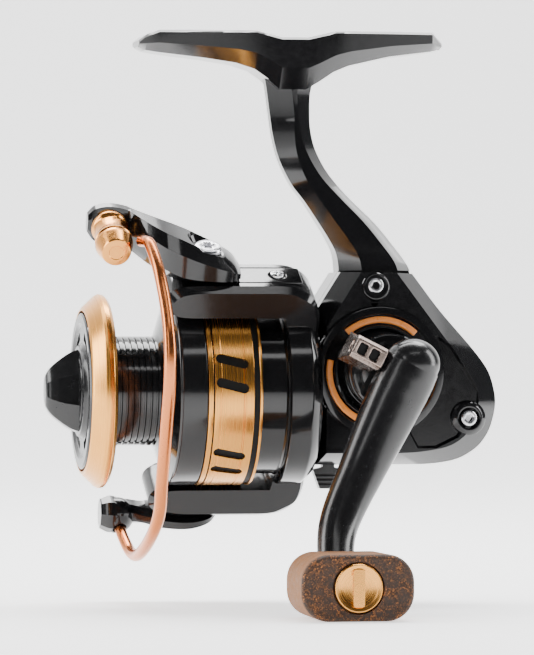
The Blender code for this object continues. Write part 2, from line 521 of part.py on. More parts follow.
part("rotor_nut", "brass", lofted([[(x, 4.6 * math.sin(math.pi * k / 3), 4.6 * math.cos(math.pi * k / 3)) for k in range(6)]
                                   for x in (-12.6, -9.9)]), RA, rotor_axis)
cut(bpy.data.objects["rotor_nut"], rod(-14.0, -8.0, 2.9, "X", RA, 16))


def coil(centre, axis, radius, wire, turns, pitch, per_turn, sides=5):
    """A round spring's wire along an axis."""
    along, out = (Vector(v) for v in AXES[axis])
    pts = []
    for i in range(int(turns * per_turn) + 1):
        t = i / per_turn
        pts.append(Vector(centre) + along * (pitch * t) + Matrix.Rotation(2 * math.pi * t, 3, along) @ out * radius)
    return tube(pts, wire, sides)


part("bail_spring", "steel", coil((-8.4, 0, 21.7), "Z", 1.9, 0.26, 3.0, 0.75, 8, 4), (-8.4, 0, 21.7), rotor_axis)

# ================================================================ bail: levers, roller, wire
BA = (BAIL_X, 0, 0)
UP = ARM_OUT + GAP
# x, y centre and half width (y = -v), lower and upper height
LEVER = [(-12.4, 0.0, 3.0, UP + 0.1, 28.2), (-14.2, 0.0, 5.2, UP, 30.0), (-19.0, 0.0, 6.3, UP, 32.6), (-24.0, 0.1, 6.1, UP, 35.0),
         (-28.0, 0.9, 5.4, 27.5, 36.4), (-31.0, 3.3, 3.8, 28.3, 36.9), (-33.4, 5.7, 2.2, 29.0, 37.2), (-34.9, 6.7, 1.7, 29.2, 37.5),
         (-38.2, 6.8, 1.7, 29.4, 38.0), (-40.8, 6.8, 1.6, 30.6, 37.4), (-42.2, 6.8, 1.3, 32.4, 36.0)]
upper = part("bail_arm", "gloss_black", lofted([octagon(x, y - h, y + h, z0, z1, 0.24) for x, y, h, z0, z1 in LEVER]), BA, rotor_axis)
cut(upper, rod(30.9, 36.0, 3.3, "Z", BA, 16), rod(25.0, 36.0, 1.8, "Z", BA, 14))
part("bail_pivot_screw_upper", "steel", turned([(21.6, 0), (21.6, 1.4), (31.2, 1.5), (31.2, 2.9), (32.2, 2.9), (32.6, 2.3), (32.6, 1.3), (31.9, 1.2), (31.9, 0)],
                                               "Z", BA, 18), BA, rotor_axis)
RO = (-38.0, 0, 34.2)
part("roller_pin", "steel", rod(-2.0, 4.7, 1.2, "Y", RO, 12), RO, rotor_axis)
part("roller_bush", "brass", ring(-2.2, 4.4, 1.5, 2.2, "Y", RO, 14), RO, rotor_axis)
part("line_roller", "gold", turned([(4.5, 2.5), (4.5, 3.5), (3.6, 3.6), (2.6, 2.95), (0.2, 2.95), (-1.0, 3.6), (-2.1, 3.6), (-2.1, 2.5)],
                                   "Y", RO, 22), RO, rotor_axis)
part("roller_end_cap", "gold", turned([(-2.5, 0), (-2.5, 3.4), (-3.0, 3.7), (-6.4, 2.8), (-6.6, 2.5), (-6.6, 0)], "Y", RO, 22), RO, rotor_axis)

swing = math.radians(71.0)


def bail_point(u, p, q):
    """u along the pivot axis, p out from it in the wire's plane, q square to that plane."""
    v = p * math.sin(swing) - q * math.cos(swing)
    return Vector((BAIL_X - p * math.cos(swing) - q * math.sin(swing), -v, u))


WIRE = [(35.6, 8.5, 11.8), (36.6, 10.4, 10.4), (36.8, 12.4, 9.2), (34.6, 18.4, 6.2), (30.4, 23.8, 3.5), (25.6, 29.2, 1.3),
        (19.0, 32.2, 0.2), (9.0, 33.0, 0.0), (-3.0, 33.0, 0.0), (-10.0, 32.2, 0.1), (-16.0, 30.0, 1.3), (-23.6, 24.0, 3.8),
        (-29.0, 18.2, 6.2), (-30.9, 14.0, 8.2), (-30.8, 10.2, 10.2), (-30.2, 6.6, 12.0)]
part("bail_wire", "copper_wire", tube(smooth_path([bail_point(*w) for w in WIRE], 2), WIRE_R, 8), BA, rotor_axis)
LOW = [(-12.8, 0.0, 2.0, 27.4, 26.4), (-15.0, 0.0, 4.6, 28.6, 26.3), (-19.0, 0.0, 5.6, 29.6, 26.3), (-24.0, 0.2, 4.8, 30.0, 26.3),
       (-27.8, 0.9, 3.0, 30.2, 26.5), (-30.4, 1.0, 2.4, 30.6, 26.0), (-32.4, 0.6, 3.0, 31.6, 25.6), (-34.4, 0.4, 3.2, 32.0, 25.0),
       (-36.4, 0.4, 2.4, 31.2, 25.6)]
lower = part("bail_trunnion", "gloss_black",
             lofted([octagon(x, y - h, y + h, -z0, -z1, 0.26) for x, y, h, z0, z1 in LOW]), BA, rotor_axis)
join(lower, ball((-32.8, 0.4, -28.8), (3.5, 3.3, 3.8), 14, 8))
cut(lower, rod(-36.0, -25.0, 1.8, "Z", BA, 14), rod(-36.0, -28.4, 2.9, "Z", BA, 14),
    tube([bail_point(-30.8, 10.2, 10.2), bail_point(-30.3, 7.0, 11.8), bail_point(-30.1, 5.2, 12.8)], WIRE_R + 0.3, 10))
part("bail_pivot_screw_lower", "steel", turned([(-21.6, 0), (-21.6, 1.4), (-28.7, 1.5), (-28.7, 2.5), (-29.4, 2.5), (-29.5, 1.2), (-29.1, 1.1), (-29.1, 0)],
                                               "Z", BA, 16), BA, rotor_axis)

# ================================================================ main shaft and oscillation slider (slide together)
part("main_shaft", "steel",
     turned([(-46.0, 0), (-46.0, 1.3), (-45.7, 1.5), (27.5, 1.5), (27.8, 1.2), (27.8, 0)], "X", SA, 14), SA)
SLOT_X = OSC_X - OSC_ECCENTRIC
slider = part("oscillation_slider", "zinc", block(SLOT_X - 3.0, SLOT_X + 3.0, -2.6, 3.3, -74.3, -66.6), (SLOT_X, 0, SPOOL_Z))
cut(slider, rod(SLOT_X - 5, SLOT_X + 5, 1.8, "X", SA, 14), rod(SLOT_X - 5, SLOT_X + 5, 1.1, "X", (0, 0, -68.1), 10),
    block(SLOT_X - 1.2, SLOT_X + 1.2, 2.3, 4.0, -75.5, -65.0))

# ================================================================ spool with its drag stack
spool = part("spool", "gloss_black", turned([
    (-40.6, 14.6), (-40.6, 15.7), (-37.4, 15.7), (-37.0, 12.6), (-36.6, ARBOR_R + 0.3), (-36.2, ARBOR_R), (-27.5, ARBOR_R), (-27.0, 11.9),
    (-24.9, 18.2), (-24.4, SKIRT_R - 0.1), (-19.5, SKIRT_R), (-19.5, 17.75), (-8.5, 17.75), (-8.5, 16.9), (-21.0, 16.9), (-22.6, 15.2),
    (-22.6, 2.2), (-31.5, 2.2), (-31.5, 9.4), (-38.4, 9.4), (-38.4, 14.2), (-40.2, 14.2)], "X", SA, 28), SA)
part("spool_lip", "gold", turned([(-41.9, 16.0), (-41.9, 16.5), (-41.0, 17.6), (-39.4, 19.0), (-38.7, LIP_R), (-37.8, 19.1), (-37.1, 18.2),
                                  (-37.1, 16.0)], "X", SA, 28), SA)
band = part("skirt_band", "gold", turned([
    (-19.2, 18.05), (-19.2, SKIRT_R), (-18.3, SKIRT_R), (-18.3, 18.3), (-18.0, 18.3), (-18.0, SKIRT_R), (-10.2, SKIRT_R), (-10.2, 18.3),
    (-9.0, 18.3), (-9.0, SKIRT_R), (-8.5, SKIRT_R), (-8.5, 18.05)], "X", SA, 28), SA)
SLOT_SLANT = math.radians(14.0)
for k in range(6):
    for side in (-7.5, 7.5):
        a = math.radians(11.3 + 60.0 * k + side)   # up from -Y, about the spool axis
        shape = []
        for t in range(6):
            c, s = math.cos(2 * math.pi * (t + 0.5) / 6), math.sin(2 * math.pi * (t + 0.5) / 6)
            lx, ly = (2.35 if c > 0 else -2.35) + 0.95 * c, 0.95 * s
            shape.append((-14.5 + lx * math.cos(SLOT_SLANT) + ly * math.sin(SLOT_SLANT),
                          ly * math.cos(SLOT_SLANT) - lx * math.sin(SLOT_SLANT)))
        outward = Vector((0, -math.cos(a), math.sin(a)))
        upward = Vector((0, math.sin(a), math.cos(a)))
        cut(band, lofted([[Vector((x, 0, SPOOL_Z)) + upward * y + outward * r for x, y in shape] for r in (17.0, 20.0)]))
part("click_ring", "white_nylon", spur(24, 8.0, 8.8, -22.3, -21.3, "X", SA), SA)
cut(bpy.data.objects["click_ring"], rod(-24.0, -20.0, 3.0, "X", SA, 16))
part("drag_washer_felt", "felt", ring(-32.9, -31.8, 2.2, 9.1, "X", SA, 24), SA)
part("drag_washer_steel", "steel", ring(-34.0, -33.2, 2.2, 9.1, "X", SA, 24), SA)
part("drag_retainer", "steel", ring(-37.0, -36.4, 8.0, 9.1, "X", SA, 24), SA)

# ================================================================ drag knob
dial = part("drag_knob", "satin_black", turned([
    (-38.2, 0), (-38.2, 6.4), (-40.9, 7.4), (-41.0, 15.0), (-41.6, 15.6), (-42.2, 15.3), (-42.2, 13.2), (-41.8, 12.8), (-41.8, 9.6),
    (-42.6, 9.0), (-42.8, 0)], "X", SA, 28), SA)


def grip_loop(x, half_y, half_z, c=0.3):
    turn = Matrix.Rotation(math.radians(-6.0), 3, "X")
    return [Vector((x, 0, SPOOL_Z)) + turn @ Vector((0, y, z)) for _, y, z in octagon(x, -half_y, half_y, -half_z, half_z, c)]


join(dial, lofted([grip_loop(-41.4, 3.6, 8.4), grip_loop(-43.6, 3.3, 7.8), grip_loop(-46.8, 2.8, 5.6), grip_loop(-48.9, 2.4, 4.2), grip_loop(-49.3, 1.8, 3.6)]))
cut(dial, turned([(-37.0, 0), (-37.0, 4.6), (-42.0, 4.6), (-42.0, 1.85), (-46.4, 1.85), (-46.4, 0)], "X", SA, 16))
part("drag_nut", "brass", lofted([[(x, 4.2 * math.sin(math.pi * k / 3), SPOOL_Z + 4.2 * math.cos(math.pi * k / 3)) for k in range(6)]
                                  for x in (-41.7, -40.0)]), SA)
cut(bpy.data.objects["drag_nut"], rod(-43.0, -38.0, 1.85, "X", SA, 16))
part("drag_spring", "steel", coil((-39.4, 0, SPOOL_Z), "X", 3.2, 0.3, 3.0, 1.35, 8, 4), SA)
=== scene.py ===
"""Look of the small open-face spinning reel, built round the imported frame. Numbers are millimetres unless noted."""
import json
import math

import bmesh
import bpy
from mathutils import Matrix, Vector


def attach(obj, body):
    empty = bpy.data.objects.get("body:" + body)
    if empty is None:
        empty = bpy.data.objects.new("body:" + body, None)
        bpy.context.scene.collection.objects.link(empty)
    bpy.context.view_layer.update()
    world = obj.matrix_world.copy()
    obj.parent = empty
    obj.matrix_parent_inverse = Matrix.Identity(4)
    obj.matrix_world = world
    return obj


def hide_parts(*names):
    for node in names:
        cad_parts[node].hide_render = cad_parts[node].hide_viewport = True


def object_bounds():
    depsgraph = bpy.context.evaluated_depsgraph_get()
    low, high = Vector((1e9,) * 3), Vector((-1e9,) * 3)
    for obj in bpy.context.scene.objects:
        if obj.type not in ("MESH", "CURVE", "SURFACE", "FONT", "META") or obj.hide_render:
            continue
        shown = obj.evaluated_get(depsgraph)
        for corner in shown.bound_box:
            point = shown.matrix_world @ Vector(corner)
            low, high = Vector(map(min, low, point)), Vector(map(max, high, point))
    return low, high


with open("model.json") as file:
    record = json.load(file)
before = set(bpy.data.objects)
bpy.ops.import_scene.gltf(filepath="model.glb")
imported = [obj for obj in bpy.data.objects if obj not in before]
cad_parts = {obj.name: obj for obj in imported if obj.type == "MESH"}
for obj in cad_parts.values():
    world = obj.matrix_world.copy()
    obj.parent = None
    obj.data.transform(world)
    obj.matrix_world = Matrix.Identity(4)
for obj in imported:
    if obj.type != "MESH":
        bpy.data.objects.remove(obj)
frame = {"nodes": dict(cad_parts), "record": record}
cad_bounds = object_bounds()

MM = 0.001
GAP = 0.3
SPOOL_Z = -71.6
CRANK_X, CRANK_Z = 16.3, -67.7
SPLIT_Y, BODY_FAR_Y, COVER_FACE_Y = -2.0, 10.5, -10.5
LIP_R, SKIRT_R, ARBOR_R = 19.3, 18.75, 10.9
ROTOR_CUP_R, ROTOR_TUBE_R = 18.6, 16.5
ARM_IN, ARM_OUT, ARM_HALF = 19.5, 26.0, 6.0
BAIL_X, WIRE_R = -19.0, 1.12
SA, CA, RA = (0, 0, SPOOL_Z), (CRANK_X, 0, CRANK_Z), (0, 0, 0)
ROTOR = Matrix.Translation((0, 0, SPOOL_Z)) @ Matrix.Rotation(math.radians(28.0), 4, "X")


# ------------------------------------------------------------------ shape helpers
AXES = {"X": ((1, 0, 0), (0, 0, 1)), "Y": ((0, 1, 0), (0, 0, 1)), "Z": ((0, 0, 1), (1, 0, 0))}


def turned(profile, axis="X", centre=(0, 0, 0), steps=96, angle=360.0, start=0.0):
    along, out = (Vector(v) for v in AXES[axis])
    out = Matrix.Rotation(math.radians(start), 3, along) @ out
    bm = bmesh.new()
    verts = [bm.verts.new(along * a + out * r) for a, r in profile]
    closed = profile[0][1] == 0 and profile[-1][1] == 0
    pairs = list(zip(verts, verts[1:])) + ([] if closed else [(verts[-1], verts[0])])
    geometry = verts + [bm.edges.new(p) for p in pairs]
    if angle < 360.0:
        geometry = geometry + [bm.faces.new(verts)]
    bmesh.ops.spin(bm, geom=geometry, cent=(0, 0, 0), axis=along, angle=math.radians(angle), steps=steps,
                   use_merge=angle >= 360.0)
    bmesh.ops.remove_doubles(bm, verts=bm.verts, dist=1e-4)
    bmesh.ops.translate(bm, verts=bm.verts, vec=centre)
    return bm


def rod(a0, a1, r, axis="X", centre=(0, 0, 0), steps=40, c=0.0):
    if c:
        return turned([(a0, 0), (a0, r - c), (a0 + c, r), (a1 - c, r), (a1, r - c), (a1, 0)], axis, centre, steps)
    return turned([(a0, 0), (a0, r), (a1, r), (a1, 0)], axis, centre, steps)


def lofted(loops):
    bm = bmesh.new()
    rows = [[bm.verts.new(p) for p in loop] for loop in loops]
    n = len(rows[0])
    for one, two in zip(rows, rows[1:]):
        for i in range(n):
            bm.faces.new((one[i], one[(i + 1) % n], two[(i + 1) % n], two[i]))
    bm.faces.new(rows[0])
    bm.faces.new(rows[-1])
    return bm


def soften(points, keep=(), n=4, reach=0.42, most=3.2):
    """Rounds every corner but those kept."""
    out, count = [], len(points)
    for i, p in enumerate(points):
        if i in keep:
            out.append(tuple(p))
            continue
        p, a, b = Vector(p), Vector(points[i - 1]), Vector(points[(i + 1) % count])
        a, b = p.lerp(a, min(reach, most / max((a - p).length, 1e-6))), p.lerp(b, min(reach, most / max((b - p).length, 1e-6)))
        for k in range(n + 1):
            t = k / n
            out.append(tuple(a * (1 - t) ** 2 + p * (2 * t * (1 - t)) + b * t * t))
    return out


def inset(points, distance):
    distances = distance if isinstance(distance, list) else [distance] * len(points)
    centre = Vector((sum(p[0] for p in points), sum(p[1] for p in points))) / len(points)
    lines = []
    for a, b, d in zip(points, points[1:] + points[:1], distances):
        a, b = Vector(a), Vector(b)
        normal = Vector((-(b - a).y, (b - a).x)).normalized()
        if normal.dot(centre - a) < 0:
            normal = -normal
        lines.append((a + normal * d, (b - a).normalized()))
    made = []
    for (p, d), (q, e) in zip(lines[-1:] + lines[:-1], lines):
        cross = d.x * e.y - d.y * e.x
        t = ((q - p).x * e.y - (q - p).y * e.x) / cross
        made.append(tuple(p + d * t))
    return made


def slab(outline, steps, keep=None):
    levels = [(y, inset(outline, d) if d else outline) for y, d in steps]
    return lofted([[(x, y, z) for x, z in (level if keep is None else soften(level, keep))] for y, level in levels])


def block(x0, x1, y0, y1, z0, z1):
    return lofted([[(x, y0, z0), (x, y1, z0), (x, y1, z1), (x, y0, z1)] for x in (x0, x1)])


def octagon(x, y0, y1, z0, z1, c):
    cy, cz = c * (y1 - y0), c * (z1 - z0)
    return [(x, y0 + cy, z0), (x, y1 - cy, z0), (x, y1, z0 + cz), (x, y1, z1 - cz),
            (x, y1 - cy, z1), (x, y0 + cy, z1), (x, y0, z1 - cz), (x, y0, z0 + cz)]


def curve(rows, per):
    """Catmull-Rom through rows of numbers."""
    rows = [tuple(r) for r in rows]
    ends = [tuple(2 * a - b for a, b in zip(rows[0], rows[1]))] + rows + [tuple(2 * a - b for a, b in zip(rows[-1], rows[-2]))]
    out = []
    for i in range(1, len(ends) - 2):
        for k in range(per):
            t = k / per
            out.append(tuple(0.5 * (2 * b + (c - a) * t + (2 * a - 5 * b + 4 * c - d) * t * t + (3 * b - a - 3 * c + d) * t ** 3)
                             for a, b, c, d in zip(*ends[i - 1:i + 3])))
    return out + [ends[-2]]


def tube(points, radii, sides=20, squash=1.0, flat_axis=None):
    pts = [Vector(p) for p in points]
    loops, side = [], None
    for i, p in enumerate(pts):
        along = (pts[min(i + 1, len(pts) - 1)] - pts[max(i - 1, 0)]).normalized()
        side = Vector(flat_axis) if flat_axis is not None else (along.orthogonal() if side is None else side)
        side = (side - along * side.dot(along)).normalized()
        other = along.cross(side)
        r = radii[i] if isinstance(radii, (list, tuple)) else radii
        loops.append([p + side * (math.cos(2 * math.pi * (k + 0.5) / sides) * r * squash)
                      + other * (math.sin(2 * math.pi * (k + 0.5) / sides) * r) for k in range(sides)])
    return lofted(loops)


def rounded(cx, cz, hx, hz, r, n=8, power=1.0):
    """A rectangle with rounded corners in XZ."""
    out = []
    for sx, sz, start in ((1, 1, 0), (-1, 1, 90), (-1, -1, 180), (1, -1, 270)):
        for k in range(n + 1):
            a = math.radians(start + 90.0 * k / n)
            out.append((cx + sx * (hx - r) + r * math.cos(a), cz + sz * (hz - r) + r * math.sin(a)))
    return out


def ball(centre, radii, around=48, rings=24):
    bm = bmesh.new()
    bmesh.ops.create_uvsphere(bm, u_segments=around, v_segments=rings, radius=1.0)
    bmesh.ops.scale(bm, vec=radii, verts=bm.verts)
    bmesh.ops.translate(bm, vec=centre, verts=bm.verts)
    return bm


# ------------------------------------------------------------------ objects
def raw(name, bm, local=False):
    bmesh.ops.remove_doubles(bm, verts=bm.verts, dist=1e-4)
    bmesh.ops.recalc_face_normals(bm, faces=bm.faces)
    if local:
        bm.transform(ROTOR)
    bm.transform(Matrix.Scale(MM, 4))
    mesh = bpy.data.meshes.new(name)
    bm.to_mesh(mesh)
    bm.free()
    made = bpy.data.objects.new(name, mesh)
    bpy.context.scene.collection.objects.link(made)
    return made


def bake(made):
    bpy.context.view_layer.update()
    seen = bpy.context.evaluated_depsgraph_get()
    mesh = bpy.data.meshes.new_from_object(made.evaluated_get(seen))
    made.modifiers.clear()
    old = made.data
    made.data = mesh
    bpy.data.meshes.remove(old)
    mesh.name = made.name


def piece(name, finish, bm, body, nodes=(), add=(), cuts=(), bevel=0.0, segments=3, limit=28.0, local=False, sharp=38.0):
    made = raw(name, bm, local)
    tools = []
    for shapes, operation in ((add, "UNION"), (cuts, "DIFFERENCE")):
        for i, shape in enumerate(shapes):
            tool = raw(name + "_t", shape, local)
            step = made.modifiers.new("b", "BOOLEAN")
            step.operation, step.object, step.solver = operation, tool, "EXACT"
            tools.append(tool)
    if tools:
        bake(made)
        for tool in tools:
            mesh = tool.data
            bpy.data.objects.remove(tool)
            bpy.data.meshes.remove(mesh)
    if bevel:
        step = made.modifiers.new("e", "BEVEL")
        step.width, step.segments = bevel * MM, segments
        step.limit_method, step.angle_limit = "ANGLE", math.radians(limit)
        step.use_clamp_overlap = True
        step.miter_outer = "MITER_ARC"
        bake(made)
    made.data.shade_smooth()
    made.data.set_sharp_from_angle(angle=math.radians(sharp))
    step = made.modifiers.new("n", "WEIGHTED_NORMAL")
    step.keep_sharp = True
    bake(made)
    made.data.materials.clear()
    made.data.materials.append(FINISH[finish])
    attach(made, body)
    if nodes:
        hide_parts(*nodes)
    return made


# ------------------------------------------------------------------ finishes
def start(name):
    made = bpy.data.materials.new(name)
    made.use_nodes = True
    tree = made.node_tree
    return made, tree, tree.nodes["Principled BSDF"]


def link(tree, a, b):
    tree.links.new(a, b)


def coords(tree):
    return tree.nodes.new("ShaderNodeTexCoord").outputs["Object"]


def noise(tree, scale, detail=4.0, vector=None, rough=0.55):
    n = tree.nodes.new("ShaderNodeTexNoise")
    n.inputs["Scale"].default_value = scale
    n.inputs["Detail"].default_value = detail
    n.inputs["Roughness"].default_value = rough
    link(tree, vector if vector is not None else coords(tree), n.inputs["Vector"])
    return n


def spread(tree, value, low, high, a=0.3, b=0.7):
    m = tree.nodes.new("ShaderNodeMapRange")
    m.inputs["From Min"].default_value, m.inputs["From Max"].default_value = a, b
    m.inputs["To Min"].default_value, m.inputs["To Max"].default_value = low, high
    link(tree, value, m.inputs["Value"])
    return m.outputs["Result"]


def bump(tree, shader, height, depth_mm, strength=1.0):
    n = tree.nodes.new("ShaderNodeBump")
    n.inputs["Strength"].default_value = strength
    n.inputs["Distance"].default_value = depth_mm * MM
    link(tree, height, n.inputs["Height"])
    link(tree, n.outputs["Normal"], shader.inputs["Normal"])


def ramp(tree, value, stops):
    n = tree.nodes.new("ShaderNodeValToRGB")
    while len(n.color_ramp.elements) < len(stops):
        n.color_ramp.elements.new(0.5)
    for e, (at, colour) in zip(n.color_ramp.elements, stops):
        e.position = at
        e.color = (*colour, 1.0)
    link(tree, value, n.inputs["Fac"])
    return n.outputs["Color"]


def mix(tree, factor, a, b):
    n = tree.nodes.new("ShaderNodeMix")
    n.data_type = "RGBA"
    for value, socket in ((factor, n.inputs[0]), (a, n.inputs[6]), (b, n.inputs[7])):
        if isinstance(value, (int, float)):
            socket.default_value = value
        elif isinstance(value, tuple):
            socket.default_value = (*value, 1.0)
        else:
            link(tree, value, socket)
    return n.outputs[2]


def plastic(name, colour, rough, coat=0.0, peel=0.004, vary=0.04, spec=0.5):
    made, tree, s = start(name)
    cloud = noise(tree, 260.0, 5.0)
    lighter = tuple(min(1.0, c * 1.25 + 0.001) for c in colour)
    link(tree, mix(tree, cloud.outputs["Fac"], colour, lighter), s.inputs["Base Color"])
    link(tree, spread(tree, noise(tree, 900.0, 6.0).outputs["Fac"], rough - vary, rough + vary), s.inputs["Roughness"])
    s.inputs["Coat Weight"].default_value = coat
    s.inputs["Coat Roughness"].default_value = 0.06
    s.inputs["Specular IOR Level"].default_value = spec
    bump(tree, s, noise(tree, 1500.0, 3.0).outputs["Fac"], peel)
    return made


def metal(name, colour, rough, vary=0.05, grain=0.003, lathe=None, tint=0.9):
    """lathe: (axis letter, centre mm) gives fine turning lines."""
    made, tree, s = start(name)
    s.inputs["Metallic"].default_value = 1.0
    vector = None
    if lathe:
        axis, centre = lathe
        part = tree.nodes.new("ShaderNodeSeparateXYZ")
        link(tree, coords(tree), part.inputs["Vector"])
        squares = []
        for letter, c in zip("XYZ", centre):
            if letter == axis:
                continue
            off = tree.nodes.new("ShaderNodeMath")
            off.operation = "SUBTRACT"
            link(tree, part.outputs[letter], off.inputs[0])
            off.inputs[1].default_value = c * MM
            power = tree.nodes.new("ShaderNodeMath")
            power.operation = "MULTIPLY"
            link(tree, off.outputs[0], power.inputs[0])
            link(tree, off.outputs[0], power.inputs[1])
            squares.append(power.outputs[0])
        total = tree.nodes.new("ShaderNodeMath")
        link(tree, squares[0], total.inputs[0])
        link(tree, squares[1], total.inputs[1])
        root = tree.nodes.new("ShaderNodeMath")
        root.operation = "SQRT"
        link(tree, total.outputs[0], root.inputs[0])
        both = tree.nodes.new("ShaderNodeCombineXYZ")
        link(tree, part.outputs[axis], both.inputs["X"])
        link(tree, root.outputs[0], both.inputs["Y"])
        vector = both.outputs["Vector"]
    fine = noise(tree, 5200.0 if lathe else 1800.0, 3.0, vector)
    wide = noise(tree, 320.0, 4.0)
    darker = tuple(c * tint for c in colour)
    link(tree, mix(tree, wide.outputs["Fac"], darker, colour), s.inputs["Base Color"])
    link(tree, spread(tree, fine.outputs["Fac"], rough - vary, rough + vary), s.inputs["Roughness"])
    bump(tree, s, fine.outputs["Fac"], grain)
    return made


def cork_look():
    made, tree, s = start("cork")
    here = coords(tree)
    cells = tree.nodes.new("ShaderNodeTexVoronoi")
    cells.inputs["Scale"].default_value = 4200.0
    link(tree, here, cells.inputs["Vector"])
    warp = noise(tree, 700.0, 5.0, here)
    grain = ramp(tree, cells.outputs["Color"], [(0.0, (0.012, 0.006, 0.003)), (0.40, (0.035, 0.015, 0.006)),
                                                 (0.62, (0.10, 0.038, 0.010)), (0.85, (0.30, 0.10, 0.022)), (1.0, (0.50, 0.19, 0.045))])
    base = mix(tree, spread(tree, warp.outputs["Fac"], 0.15, 1.0, 0.40, 0.60), (0.022, 0.010, 0.004), grain)
    side = mix(tree, 0.55, base, (0.36, 0.15, 0.045))
    part = tree.nodes.new("ShaderNodeSeparateXYZ")
    link(tree, here, part.inputs["Vector"])
    link(tree, mix(tree, spread(tree, part.outputs["Y"], 0.0, 1.0, -0.0614, -0.0604), base, side), s.inputs["Base Color"])
    link(tree, spread(tree, warp.outputs["Fac"], 0.55, 0.85), s.inputs["Roughness"])
    height = tree.nodes.new("ShaderNodeMath")
    height.operation = "ADD"
    link(tree, cells.outputs["Distance"], height.inputs[0])
    link(tree, warp.outputs["Fac"], height.inputs[1])
    bump(tree, s, height.outputs[0], 0.06, 0.6)
    return made


def felt_look():
    made, tree, s = start("felt")
    n = noise(tree, 2500.0, 8.0)
    link(tree, mix(tree, n.outputs["Fac"], (0.55, 0.52, 0.43), (0.80, 0.77, 0.67)), s.inputs["Base Color"])
    s.inputs["Roughness"].default_value = 0.95
    s.inputs["Sheen Weight"].default_value = 0.4
    bump(tree, s, n.outputs["Fac"], 0.08)
    return made


FINISH = {
    "body_black": plastic("body_black", (0.004, 0.004, 0.0045), 0.12, 0.2, 0.002, 0.03, 0.45),
    "rotor_black": plastic("rotor_black", (0.004, 0.004, 0.0045), 0.12, 0.2, 0.002, 0.03, 0.45),
    "spool_black": plastic("spool_black", (0.004, 0.004, 0.0045), 0.14, 0.2, 0.002, 0.03, 0.45),
    "arm_black": plastic("arm_black", (0.005, 0.005, 0.0055), 0.24, 0.1, 0.003, 0.04, 0.5),
    "knob_black": plastic("knob_black", (0.006, 0.006, 0.0065), 0.24, 0.1, 0.003, 0.04, 0.5),
    # painted shade: near-black matte finish laid on the floors of slots and grooves
    "painted_shade_black": plastic("painted_shade_black", (0.003, 0.003, 0.003), 0.6, 0.0, 0.004, 0.04, 0.2),
    "gold": metal("gold", (0.78, 0.35, 0.075), 0.25, 0.06, 0.0018, ("X", SA)),
    "roller_gold": metal("roller_gold", (0.76, 0.32, 0.075), 0.22, 0.05, 0.002),
    "cap_gold": metal("cap_gold", (0.78, 0.36, 0.085), 0.26, 0.06, 0.0025, ("Y", (2.08, 0, -107.857))),
    "bail_copper": metal("bail_copper", (0.66, 0.21, 0.07), 0.24, 0.04, 0.0015),
    "inlay_orange": plastic("inlay_orange", (0.70, 0.22, 0.035), 0.30, 0.3, 0.003, 0.05, 0.6),
    "steel": metal("steel", (0.72, 0.72, 0.74), 0.22, 0.05, 0.002),
    "brass": metal("brass", (0.70, 0.42, 0.14), 0.32, 0.06, 0.003),
    "zinc": metal("zinc", (0.52, 0.53, 0.55), 0.42, 0.08, 0.01),
    "knuckle_metal": metal("knuckle_metal", (0.34, 0.27, 0.235), 0.26, 0.04, 0.0006),
    "cork": cork_look(),
    "felt": felt_look(),
    "nylon": plastic("nylon", (0.80, 0.80, 0.76), 0.48, 0.0, 0.006),
}

slot_of = {s["node"]: s["material_slot"] for s in frame["record"]["subparts"]}
for node, made in frame["nodes"].items():
    if made.type == "MESH":
        for i in range(len(made.material_slots)):
            made.material_slots[i].material = FINISH[slot_of[node]]
        if not made.material_slots:
            made.data.materials.append(FINISH[slot_of[node]])

# ------------------------------------------------------------------ reel body
FOOT = [(-31.0, -2.0, -3.2, 4.6), (-29.6, -0.9, -3.9, 5.8), (-27.2, 0.0, -4.3, 6.8), (-17.7, 0.0, -5.4, 7.9),
    (-11.6, 0.0, -6.3, 8.2), (-7.8, 0.0, -7.5, 8.3), (-5.3, -0.65, -9.2, 8.3), (-2.8, -1.3, -11.5, 8.3), (2.6, -1.3, -11.5, 8.3),
    (5.2, -0.7, -10.0, 8.3), (8.2, 0.0, -8.0, 8.3), (11.3, 0.0, -6.7, 8.2), (19.5, 0.0, -4.8, 7.9), (28.0, 0.0, -3.7, 6.6),
    (30.3, -2.0, -3.2, 4.6)]


def foot_loop(x, top, under, half):
    deep = top - under
    return [(x, -half + 0.7, top), (x, half - 0.7, top), (x, half, top - 0.5), (x, half * 0.97, top - deep * 0.6),
            (x, half * 0.55, under), (x, -half * 0.55, under), (x, -half * 0.97, top - deep * 0.6), (x, -half, top - 0.5)]


STEM = [
    (-5.6, -7.6, 7.0, -7.6, 5.0, 0.40, 0.62), (-4.9, -10.8, 4.3, -10.8, 4.4, 0.50, 0.64), (-4.2, -16.0, 3.9, -16.6, 4.1, 0.56, 0.66),
    (-3.5, -20.7, 4.3, -20.7, 4.2, 0.50, 0.68), (-2.2, -25.5, 5.4, -24.2, 4.4, 0.42, 0.70), (0.2, -30.3, 7.8, -28.4, 4.8, 0.34, 0.72),
    (2.7, -33.6, 11.8, -33.0, 5.4, 0.28, 0.74), (5.3, -37.5, 16.9, -37.9, 6.2, 0.24, 0.74), (7.5, -41.0, 20.7, -42.5, 7.2, 0.24, 0.74),
    (9.1, -44.3, 23.6, -46.5, 8.4, 0.24, 0.74), (9.6, -48.5, 24.6, -49.6, 9.2, 0.24, 0.74), (9.6, -53.0, 25.5, -53.0, 9.6, 0.24, 0.74)]


def stem_loop(fx, fz, rx, rz, half, t1, t2):
    f, r = Vector((fx, 0, fz)), Vector((rx, 0, rz))
    row = []
    for t, y in ((0, 0.32), (t1, 1), (t2, 1), (1, 0.32), (1, -0.32), (t2, -1), (t1, -1), (0, -0.32)):
        p = f.lerp(r, t)
        row.append((p.x, y * half, p.z))
    return row


